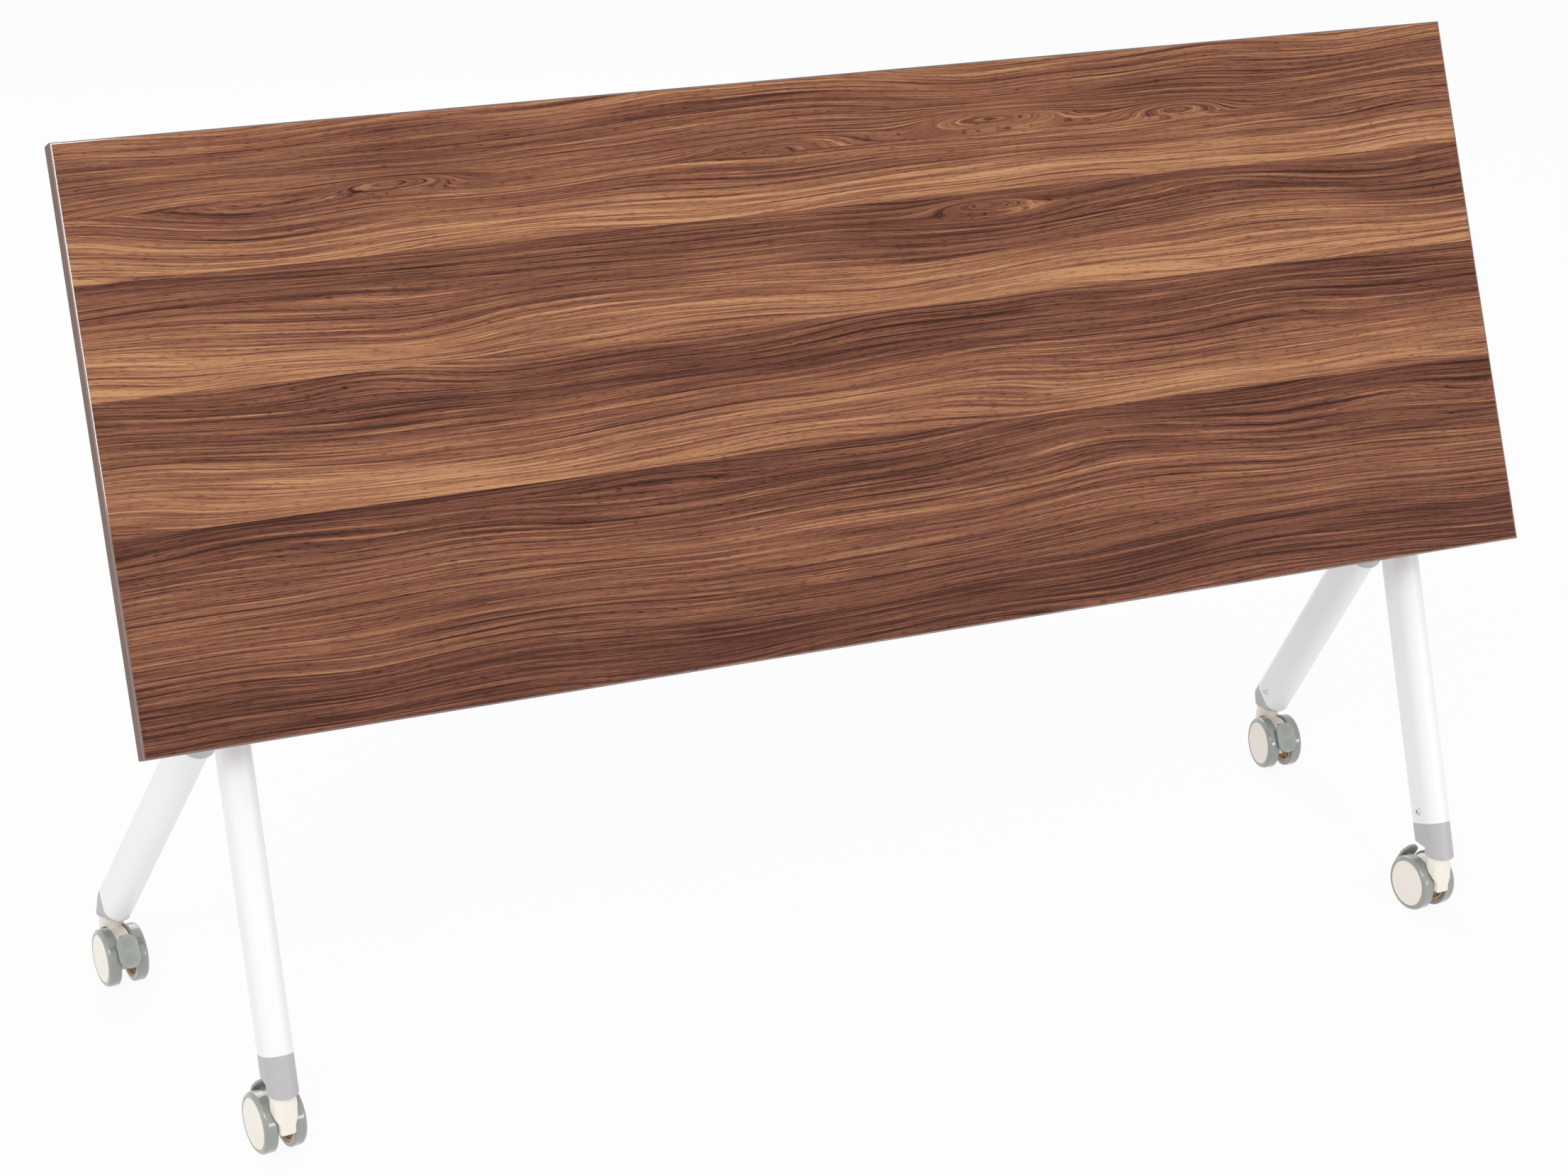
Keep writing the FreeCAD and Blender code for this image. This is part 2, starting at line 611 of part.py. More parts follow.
def top_bracket(label, side):
    """Welded bracket: a plate under the board and two cheeks that straddle the pivot head."""
    body = new_body(label)
    plate = sketch_on(body, "XY_Plane", "plate_under")
    rectangle(plate, "-bracket_width / 2", "bracket_width / 2", "-bracket_length / 2", "bracket_length / 2")
    for x in ("-screw_side", "screw_side"):
        for y in ("-screw_end", "0", "screw_end"):
            circle(plate, "screw_radius + hole_clearance", x, y)
    pad(body, plate, "bracket_plate")
    cheek = sketch_on(body, "YZ_Plane", "cheek_inside")
    slope = "sqrt(0.5)"
    corners = [
        ("-cheek_front", "plate_under"),
        ("-ear_radius", "0"),
        (f"ear_radius * {slope}", f"-ear_radius * {slope}"),
        (f"rod_y + rod_ear_radius * {slope}", f"rod_z - rod_ear_radius * {slope}"),
        ("rod_y + rod_ear_radius", "rod_z"),
        ("cheek_rear", "plate_under"),
    ]
    outline(cheek, corners, {1: (("0", "0"), "x"), 3: (("rod_y", "rod_z"), "x")})
    circle(cheek, "bush_radius")
    circle(cheek, "rod_radius + running_clearance", "rod_y", "rod_z")
    mirror(body, pad(body, cheek, "bracket_plate"), "YZ_Plane")
    place = FreeCAD.Placement(FreeCAD.Vector(side * num("front_leg_offset"), 0, 0), NO_TURN)
    keep(body, label, top_frame() * place)


def bracket_screws(label):
    """Screws through the bracket plates into the board."""
    members = []
    for name, side in SIDES.items():
        for column, x in enumerate(("-screw_side", "screw_side")):
            for row, y in enumerate(("-screw_end", "0", "screw_end")):
                place = FreeCAD.Vector(side * num("front_leg_offset") + num(x), num(y), num("plate_under"))
                turn = FreeCAD.Rotation(X_AXIS, 180)
                sizes = ("screw_head_radius", "screw_head_height", "screw_radius", "screw_length")
                spot_name = f"bracket_screw_{name}_{column}_{row}"
                members.append(headed_pin(spot_name, *sizes, top_frame() * FreeCAD.Placement(place, turn)))
    group(label, members)


def pivot_bushes(label):
    """Flanged bushes in the cheeks' pivot holes."""
    members = []
    for name, side in SIDES.items():
        for face in (-1, 1):
            body = new_body(f"bush_{name}_{face + 1}")
            profile = sketch_on(body, "XZ_Plane")
            inner, outer = "pin_radius + running_clearance", "bush_radius"
            corners = [
                (inner, "cheek_inside"), (outer, "cheek_inside"), (outer, "cheek_outside"),
                (f"{outer} + bush_flange", "cheek_outside"),
                (f"{outer} + bush_flange", "cheek_outside + bush_flange_height"),
                (inner, "cheek_outside + bush_flange_height"),
            ]
            outline(profile, corners)
            revolve(body, profile, "V_Axis")
            place = FreeCAD.Vector(side * num("front_leg_offset"), 0, 0)
            turn = FreeCAD.Rotation(Z_AXIS, X_AXIS * face)
            body.Placement = top_frame() * FreeCAD.Placement(place, turn)
            members.append(body)
    group(label, members)


def stop_buffers(label):
    """Rubber buffers under the board that rest on the front legs when folded."""
    members = []
    for name, side in SIDES.items():
        place = FreeCAD.Vector(side * num("front_leg_offset"), -num("stop_reach"), num("pivot_drop"))
        turn = FreeCAD.Rotation(X_AXIS, 180)
        buffer_place = top_frame() * FreeCAD.Placement(place, turn)
        members.append(rod(f"stop_buffer_{name}", "stop_radius", "stop_height", buffer_place))
    group(label, members)


def release_rod(label):
    """Rod that turns in both brackets and carries the pawls and levers."""
    length = "2 * (front_leg_offset + cheek_outside + rod_overhang)"
    item = rod("Release_rod", "rod_radius", length)
    turn = FreeCAD.Placement(FreeCAD.Vector(), FreeCAD.Rotation(Z_AXIS, X_AXIS))
    keep(item, label, release_frame() * turn * shift(z=f"-({length}) / 2"))


def latch_pawls(label):
    """Pawls on the rod, each with a tooth for the pivot head's notches."""
    members = []
    for name, side in SIDES.items():
        body = new_body(f"pawl_{name}")
        arm = sketch_on(body, "YZ_Plane")
        low, high, end = "pawl_gap", "pawl_gap + pawl_arm", "pawl_reach + pawl_tail"
        corners = [
            ("0", low), ("pawl_reach - tooth_root / 2", low), ("pawl_reach - tooth_tip / 2", "-tooth_depth"),
            ("pawl_reach + tooth_tip / 2", "-tooth_depth"), ("pawl_reach + tooth_root / 2", low), (end, low),
            (end, high), ("0", high),
        ]
        outline(arm, corners)
        pad(body, arm, "pawl_thickness", symmetric=True)
        hub = sketch_on(body, "YZ_Plane")
        circle(hub, "pawl_hub_radius")
        pad(body, hub, "pawl_thickness", symmetric=True)
        bore = sketch_on(body, "YZ_Plane")
        circle(bore, "rod_radius")
        pocket(body, bore, "pawl_thickness + overrun", symmetric=True)
        place = FreeCAD.Placement(FreeCAD.Vector(side * num("front_leg_offset"), 0, 0), NO_TURN)
        body.Placement = release_frame() * place * turn_about(X_AXIS, 270 - num("latch_angle_deg"))
        members.append(body)
    group(label, members)


def release_levers(label):
    """Moulded levers on the rod, pulled up towards the board to free the pawls."""
    members = []
    for name, side in SIDES.items():
        body = new_body(f"lever_{name}")
        hub = sketch_on(body, "YZ_Plane")
        circle(hub, "lever_hub_radius")
        pad(body, hub, "lever_width", symmetric=True)
        paddle = sketch_on(body, "XY_Plane", "-lever_drop")
        half, corner = "lever_width / 2", "lever_width / 4"
        reach = f"lever_length - {corner}"
        corners = [
            (f"-{half}", "0"), (half, "0"), (half, reach), (f"{half} - {corner}", "lever_length"),
            (f"{corner} - {half}", "lever_length"), (f"-{half}", reach),
        ]
        arcs = {2: ((f"{half} - {corner}", reach), "x"), 4: ((f"{corner} - {half}", reach), "x")}
        outline(paddle, corners, arcs)
        pad(body, paddle, "lever_thickness", back=True)
        free = num("lever_length - lever_width / 4 - lever_round")
        ease(body, "lever_round", lambda point: point.y > free)
        bore = sketch_on(body, "YZ_Plane")
        circle(bore, "rod_radius")
        pocket(body, bore, "lever_width + overrun", symmetric=True)
        place = FreeCAD.Vector(side * num("lever_offset"), 0, 0)
        slope = FreeCAD.Rotation(X_AXIS, -num("lever_slope_deg"))
        body.Placement = release_frame() * FreeCAD.Placement(place, slope)
        members.append(body)
    group(label, members)


def caster_frame(side, end, swivel):
    """Caster's frame: origin on the floor under its stem, y along its trail."""
    place = FreeCAD.Vector(side * num("front_leg_offset"), -num("front_reach"), 0)
    heading = swivel
    if end > 0:
        place = FreeCAD.Vector(side * num("rear_foot_offset"), num("rear_reach"), 0)
        heading = 180 + swivel
    return FreeCAD.Placement(place, FreeCAD.Rotation(Z_AXIS, heading))


def caster_stem(label, frame):
    """Steel stem pressed into the hood, free to turn in the foot cap's socket."""
    body = new_body(label)
    profile = sketch_on(body, "XZ_Plane")
    low, high = "neck_top - stem_sink", "caster_height + socket_depth - stem_tip"
    corners = [
        ("0", low), ("stem_radius", low), ("stem_radius", f"{high} - stem_chamfer"),
        ("stem_radius - stem_chamfer", high), ("0", high),
    ]
    outline(profile, corners)
    revolve(body, profile, "V_Axis")
    keep(body, label, frame)


def caster_hood(label, frame):
    """Moulded web between the wheels with a round neck, a front column and an arched top."""
    body = new_body(label)
    side = sketch_on(body, "YZ_Plane")
    back = "trail - sqrt(hood_radius^2 - (hood_radius - hood_flat)^2)"
    corners = [
        ("-column_front", "hood_top"), ("-column_foot", "column_bottom"), ("column_back", "column_bottom"),
        ("trail - boss_radius", "wheel_radius"), ("trail + boss_radius", "wheel_radius"),
        ("trail + hood_radius * cos(hood_end_deg)", "wheel_radius - hood_radius * sin(hood_end_deg)"),
        (back, "hood_top"),
    ]
    centre = ("trail", "wheel_radius")
    outline(side, corners, {3: (centre, "y"), 5: (centre, "x")})
    pad(body, side, "web_width", symmetric=True)
    flank, foot = num("web_width / 2"), num("wheel_radius - boss_radius")
    rim = lambda point: math.isclose(abs(point.x), flank) and not math.isclose(point.z, foot)
    ease(body, "hood_round", rim)
    neck = sketch_on(body, "XY_Plane", "hood_top - neck_drop")
    circle(neck, "neck_radius")
    pad(body, neck, "neck_top - hood_top + neck_drop")
    scoop = sketch_on(body, "YZ_Plane", "web_width / 2")
    circle(scoop, "wheel_radius + wheel_gap", *centre)
    mirror(body, pocket(body, scoop, "neck_radius + overrun", back=True), "YZ_Plane")
    stem = sketch_on(body, "XY_Plane", "neck_top")
    circle(stem, "stem_radius")
    pocket(body, stem, "stem_sink")
    axle = sketch_on(body, "YZ_Plane")
    circle(axle, "axle_radius", *centre)
    pocket(body, axle, "web_width + overrun", symmetric=True)
    tilt = shift("trail", "wheel_radius") * turn_about(Z_AXIS, num("pedal_angle_deg"))
    slot = sketch_on(body, "YZ_Plane", offset=tilt)
    rectangle(slot, "slot_root", "hood_radius + overrun", "-slot_half", "slot_half")
    pocket(body, slot, "pedal_slot", symmetric=True)
    hinge = sketch_on(body, "YZ_Plane", offset=tilt)
    circle(hinge, "trunnion_radius + running_clearance", "trunnion_place")
    pocket(body, hinge, "web_width + overrun", symmetric=True)
    keep(body, label, frame)


def caster_axle(label, frame):
    """Axle held in the hood."""
    item = rod(f"Axle_{label}", "axle_radius", "2 * axle_end")
    turn = FreeCAD.Placement(FreeCAD.Vector(), FreeCAD.Rotation(Z_AXIS, X_AXIS))
    keep(item, label, frame * shift(y="trail", z="wheel_radius") * turn * shift(z="-axle_end"))


def brake_pedal(label, frame):
    """Rocking pedal on trunnions in the hood's slot, with grip bars and a shoe over both treads."""
    body = new_body(label)
    plate = sketch_on(body, "XZ_Plane", "-pedal_face")
    oval(plate, "pedal_width", "pedal_length")
    pad(body, plate, "pedal_thickness")
    face = num("pedal_face")
    ease(body, "pedal_round", lambda point: math.isclose(point.y, face))
    bars = sketch_on(body, "XZ_Plane", "-pedal_face")
    half = "rib_bar_length / 2"
    for sign in ("", "-"):
        for step in range(round(num("rib_bar_count"))):
            middle = f"{sign}(rib_bar_start + {step} * rib_bar_step)"
            edges = (f"{middle} - rib_bar_width / 2", f"{middle} + rib_bar_width / 2")
            rectangle(bars, f"-{half}", half, *edges)
    pad(body, bars, "rib_bar_height", back=True)
    tongue = sketch_on(body, "YZ_Plane")
    rectangle(tongue, "tongue_root", "pedal_face - pedal_thickness / 2", "-tongue_half", "tongue_half")
    pad(body, tongue, "pedal_slot - 2 * tongue_clearance", symmetric=True)
    trunnion = sketch_on(body, "YZ_Plane")
    circle(trunnion, "trunnion_radius", "trunnion_place")
    pad(body, trunnion, "web_width - 2 * trunnion_inset", symmetric=True)
    shoe = sketch_on(body, "YZ_Plane")
    ends = ("-shoe_place - shoe_half", "shoe_half - shoe_place")
    rectangle(shoe, "shoe_face", "pedal_face - pedal_thickness / 2", *ends)
    pad(body, shoe, "pedal_width - 2 * shoe_inset - 2 * shoe_half", symmetric=True)
    tilt = turn_about(X_AXIS, num("pedal_angle_deg"))
    keep(body, label, frame * shift(y="trail", z="wheel_radius") * tilt)


def wheel_hub(label, frame):
    """Hub: a plain outer disc, a rim under the tyre, a blind boss for the axle and radial ribs inside."""
    body = new_body(label)
    profile = sketch_on(body, "XY_Plane")
    inside = "hub_face - hub_wall"
    bore, bore_end = "axle_radius + running_clearance", "axle_end + end_clearance"
    corners = [
        (bore_end, "0"), ("hub_face", "0"), ("hub_face", "hub_radius - hub_bevel"),
        ("hub_face - hub_bevel", "hub_radius"), ("hub_back", "hub_radius"),
        ("hub_back", "hub_radius - hub_rim"), (inside, "hub_radius - hub_rim"),
        (inside, "hub_boss_radius"), ("hub_back", "hub_boss_radius"),
        ("hub_back", bore), (bore_end, bore),
    ]
    outline(profile, corners)
    revolve(body, profile, "H_Axis")
    rib = sketch_on(body, "YZ_Plane", "hub_back + rib_recess")
    half = "rib_thickness / 2"
    rectangle(rib, f"-{half}", half, "hub_boss_radius - rib_thickness", "hub_radius - hub_rim / 2")
    feature = pad(body, rib, f"{inside} - hub_back - rib_recess + hub_wall / 2")
    polar(body, feature, "X_Axis", "rib_count")
    keep(body, label, frame)


def wheel_tyre(label, frame):
    """Tyre with a rounded outer shoulder."""
    body = new_body(label)
    profile = sketch_on(body, "XY_Plane")
    outer, inner = "wheel_radius - shoulder_outer", "wheel_radius - shoulder_inner"
    corners = [
        ("wheel_inner", "hub_radius"), ("wheel_outer", "hub_radius"), ("wheel_outer", outer),
        ("wheel_outer - shoulder_outer", "wheel_radius"), ("wheel_inner + shoulder_inner", "wheel_radius"),
        ("wheel_inner", inner),
    ]
    arcs = {
        2: (("wheel_outer - shoulder_outer", outer), "x"),
        4: (("wheel_inner + shoulder_inner", inner), "x"),
    }
    outline(profile, corners, arcs)
    revolve(body, profile, "H_Axis")
    keep(body, label, frame)


def caster(corner, side, end, swivel):
    """One twin-wheel caster."""
    frame = caster_frame(side, end, swivel)
    caster_stem(f"{corner}_caster_stem", frame)
    caster_hood(f"{corner}_caster_hood", frame)
    caster_axle(f"{corner}_caster_axle", frame)
    brake_pedal(f"{corner}_brake_pedal", frame)
    middle = frame * shift(y="trail", z="wheel_radius")
    for name, heading in (("left", 180), ("right", 0)):
        wheel = middle * turn_about(Z_AXIS, heading)
        wheel_hub(f"{corner}_{name}_hub", wheel)
        wheel_tyre(f"{corner}_{name}_tyre", wheel)


def side_frame(name, side):
    """Legs, caps, connector, head and bracket of one side."""
    front, rear = front_frame(side), rear_frame(side)
    leg_tube(f"{name}_front_leg", "front_cap_length", "front_span - neck_length", front)
    leg_tube(f"{name}_rear_leg", "rear_cap_length", "rear_span - rear_top_gap", rear)
    front_stem = FreeCAD.Vector(side * num("front_leg_offset"), -num("front_reach"), num("caster_height"))
    foot_cap(f"front_{name}_foot_cap", front, front_stem, "front_cap_length", [(1, "heel_rise")], True)
    rear_trims = [(1, "rear_cap_length + plug_length"), (-1, "toe_rise")]
    foot_cap(f"rear_{name}_foot_cap", rear, rear_foot(side), "rear_cap_length", rear_trims, False)
    leg_connector(f"{name}_leg_connector", side)
    pivot_head(f"{name}_pivot_head", side)
    top_bracket(f"{name}_top_bracket", side)


def check_document():
    """Stop on any object that failed or has no valid shape."""
    bad = [item.Label for item in DOC.Objects if {"Invalid", "Error"} & set(item.State)]
    bad += [item.Label for item in NODES if item.Shape.isNull() or not item.Shape.isValid()]
    if bad:
        raise RuntimeError(f"pieces that failed: {bad}")


def export():
    """Write one file per piece."""
    os.makedirs("parts", exist_ok=True)
    for item in NODES:
        item.Shape.exportStep(f"parts/{item.Label}.step")


def main():
    """Build every piece and write it."""
    fill_sheet()
    desktop("desktop")
    edge_band("edge_band")
    for name, side in SIDES.items():
        side_frame(name, side)
    cross_beam("cross_beam")
    beam_bolts("beam_bolts")
    cap_screws("foot_cap_screws")
    pivot_pins("pivot_pins")
    bracket_screws("bracket_screws")
    pivot_bushes("pivot_bushes")
    stop_buffers("stop_buffers")
    release_rod("release_rod")
    latch_pawls("latch_pawls")
    release_levers("release_levers")
    for corner, (side, end, swivel) in CORNERS.items():
        caster(corner, side, end, swivel)
    DOC.recompute()
    check_document()
    export()


main()
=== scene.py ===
import json
import logging
import math
from dataclasses import dataclass, field, replace
from enum import Enum
from typing import Any, Sequence, Union

import bpy
import numpy as np
from mathutils import Matrix, Vector


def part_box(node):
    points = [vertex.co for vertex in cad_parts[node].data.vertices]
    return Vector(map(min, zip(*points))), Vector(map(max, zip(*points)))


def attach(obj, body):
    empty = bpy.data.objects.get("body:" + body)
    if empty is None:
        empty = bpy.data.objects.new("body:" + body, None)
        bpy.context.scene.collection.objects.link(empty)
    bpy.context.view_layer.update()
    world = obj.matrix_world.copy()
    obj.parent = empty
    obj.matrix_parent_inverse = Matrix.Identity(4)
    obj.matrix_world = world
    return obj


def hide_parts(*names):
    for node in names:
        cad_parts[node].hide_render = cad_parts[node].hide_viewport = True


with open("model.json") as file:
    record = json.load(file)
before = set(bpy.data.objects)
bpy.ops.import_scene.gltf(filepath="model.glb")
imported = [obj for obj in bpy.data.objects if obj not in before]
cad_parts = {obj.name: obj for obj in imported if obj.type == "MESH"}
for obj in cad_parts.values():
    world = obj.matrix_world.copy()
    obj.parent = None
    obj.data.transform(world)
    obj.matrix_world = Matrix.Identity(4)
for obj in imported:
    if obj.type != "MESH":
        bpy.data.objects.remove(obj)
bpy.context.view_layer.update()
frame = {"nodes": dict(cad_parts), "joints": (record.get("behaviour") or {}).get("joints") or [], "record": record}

Socket = bpy.types.NodeSocket
Value = Union[float, Sequence[float], Socket]
Colour = tuple[float, float, float]
Place = tuple[float, float, float]
Span = tuple[float, float]

LOG = logging.getLogger("folding_desk")
MM = 0.001
WHITE = (1.0, 1.0, 1.0, 1.0)
RIGHTWARD = np.array((1.0, 0.0, 0.0))
UPWARD = np.array((0.0, 0.0, 1.0))
LEVEL = np.array((1.0, 1.0, 0.0))
CREASE = math.radians(38.0)
FLAT = 0.9999
SLACK = 1e-5


def joint(name: str) -> dict[str, Any]:
    """Row of a joint."""
    return next(row for row in frame["joints"] if row["name"] == name)


class Graph:
    """Writer for one shader node tree."""

    def __init__(self, tree: bpy.types.NodeTree) -> None:
        """Keep the tree that nodes are added to."""
        self.tree = tree

    def add(self, kind: str, **settings: Any) -> bpy.types.Node:
        """Add a node.

        Args:
            kind: Blender's name of the node type.
            settings: Node properties to set.

        Returns:
            The new node.
        """
        node = self.tree.nodes.new(kind)
        for name, value in settings.items():
            setattr(node, name, value)
        return node

    def feed(self, socket: Socket, value: Value) -> None:
        """Link a socket to another one, or set its own value.

        Args:
            socket: Input socket.
            value: Output socket to link, or a plain value.
        """
        if isinstance(value, Socket):
            self.tree.links.new(value, socket)
        else:
            socket.default_value = value

    def fill(self, node: bpy.types.Node, **values: Value) -> bpy.types.Node:
        """Feed named inputs, with underscores for spaces.

        Args:
            node: Node whose inputs are fed.
            values: Input name to value or socket.

        Returns:
            The same node.
        """
        for name, value in values.items():
            self.feed(node.inputs[name.replace("_", " ")], value)
        return node

    def math(self, operation: str, *values: Value) -> Socket:
        """Scalar operation.

        Args:
            operation: Name of the operation.
            values: Operands.

        Returns:
            The result's socket.
        """
        node = self.add("ShaderNodeMath", operation=operation)
        for socket, value in zip(node.inputs, values):
            self.feed(socket, value)
        return node.outputs[0]

    def vector(self, operation: str, *values: Value) -> Socket:
        """Vector operation.

        Args:
            operation: Name of the operation.
            values: Operands.

        Returns:
            The result's socket, a number for a dot product.
        """
        node = self.add("ShaderNodeVectorMath", operation=operation)
        for socket, value in zip(node.inputs, values):
            self.feed(socket, value)
        return node.outputs["Value" if operation == "DOT_PRODUCT" else "Vector"]

    def scale(self, vector: Value, factor: Value) -> Socket:
        """Vector times a number."""
        node = self.add("ShaderNodeVectorMath", operation="SCALE")
        return self.fill(node, Vector=vector, Scale=factor).outputs["Vector"]

    def weigh(self, start: Value, *terms: tuple[Value, float]) -> Socket:
        """Weighted sum.

        Args:
            start: First summand.
            terms: Pairs of a value and its weight.

        Returns:
            Socket of start plus every value times its weight.
        """
        total = start
        for value, weight in terms:
            total = self.math("MULTIPLY_ADD", value, weight, total)
        return total

    def join(self, x: Value, y: Value, z: Value = 0.0) -> Socket:
        """Vector from three numbers."""
        node = self.add("ShaderNodeCombineXYZ")
        return self.fill(node, X=x, Y=y, Z=z).outputs[0]

    def split(self, vector: Socket) -> Sequence[Socket]:
        """The three numbers of a vector."""
        node = self.add("ShaderNodeSeparateXYZ")
        return self.fill(node, Vector=vector).outputs

    def noise(self, vector: Socket, scale: Value = 1.0, detail: float = 2.0) -> Socket:
        """Centred noise.

        Args:
            vector: Coordinates.
            scale: Cycles per unit.
            detail: Octaves.

        Returns:
            Noise value less one half, so about -0.25 to 0.25.
        """
        node = self.add("ShaderNodeTexNoise")
        self.fill(node, Vector=vector, Scale=scale, Detail=detail)
        return self.math("SUBTRACT", node.outputs[0], 0.5)

    def smooth(self, value: Value, low: float, high: float) -> Socket:
        """Smooth step from 0 at low to 1 at high."""
        node = self.add("ShaderNodeMapRange", interpolation_type="SMOOTHSTEP")
        return self.fill(node, Value=value, From_Min=low, From_Max=high).outputs[0]

    def ramp(self, value: Value, stops: Sequence[tuple[float, Colour]]) -> Socket:
        """Colour ramp.

        Args:
            value: Place along the ramp.
            stops: Pairs of a place and a linear colour.

        Returns:
            The ramp's colour.
        """
        node = self.add("ShaderNodeValToRGB")
        points = node.color_ramp.elements
        while len(points) < len(stops):
            points.new(1.0)
        for point, (place, colour) in zip(points, stops):
            point.position = place
            point.color = (*colour, 1.0)
        self.feed(node.inputs[0], value)
        return node.outputs[0]


class Kind(Enum):
    """Types of a node group's sockets."""

    NUMBER = "NodeSocketFloat"
    COLOUR = "NodeSocketColor"
    VECTOR = "NodeSocketVector"


@dataclass
class Effect:
    """Shader node group with named inputs and outputs."""

    name: str
    inputs: dict[str, Kind]
    outputs: dict[str, Kind]
    tree: bpy.types.NodeTree = field(init=False)
    graph: Graph = field(init=False)
    entry: bpy.types.Node = field(init=False)
    exit: bpy.types.Node = field(init=False)

    def __post_init__(self) -> None:
        """Make the empty group with its sockets."""
        self.tree = bpy.data.node_groups.new(self.name, "ShaderNodeTree")
        for way, sockets in (("INPUT", self.inputs), ("OUTPUT", self.outputs)):
            for name, kind in sockets.items():
                self.tree.interface.new_socket(name=name, in_out=way, socket_type=kind.value)
        self.graph = Graph(self.tree)
        self.entry = self.graph.add("NodeGroupInput")
        self.exit = self.graph.add("NodeGroupOutput")

    def place(self, graph: Graph, **values: Value) -> bpy.types.Node:
        """Put the group into a material.

        Args:
            graph: The material's graph.
            values: Inputs of the group.

        Returns:
            The group node.
        """
        node = graph.add("ShaderNodeGroup", node_tree=self.tree)
        return graph.fill(node, **values)


@dataclass(frozen=True)
class Eye:
    """Place where the rings bulge, or close on themselves if they rise steeply.

    Along and down are millimetres from the board's upper left corner, reach and breadth are its sizes along
    and across the grain, and rings is how many rings it rises by.
    """

    along: float
    down: float
    reach: float
    breadth: float
    rings: float


@dataclass(frozen=True)
class Streak:
    """Noise drawn out along the grain.

    Run and fine are cycles a millimetre along and across the grain, detail counts octaves, and weight is the
    share that the mark has in what it changes.
    """

    run: float
    fine: float
    detail: float
    weight: float


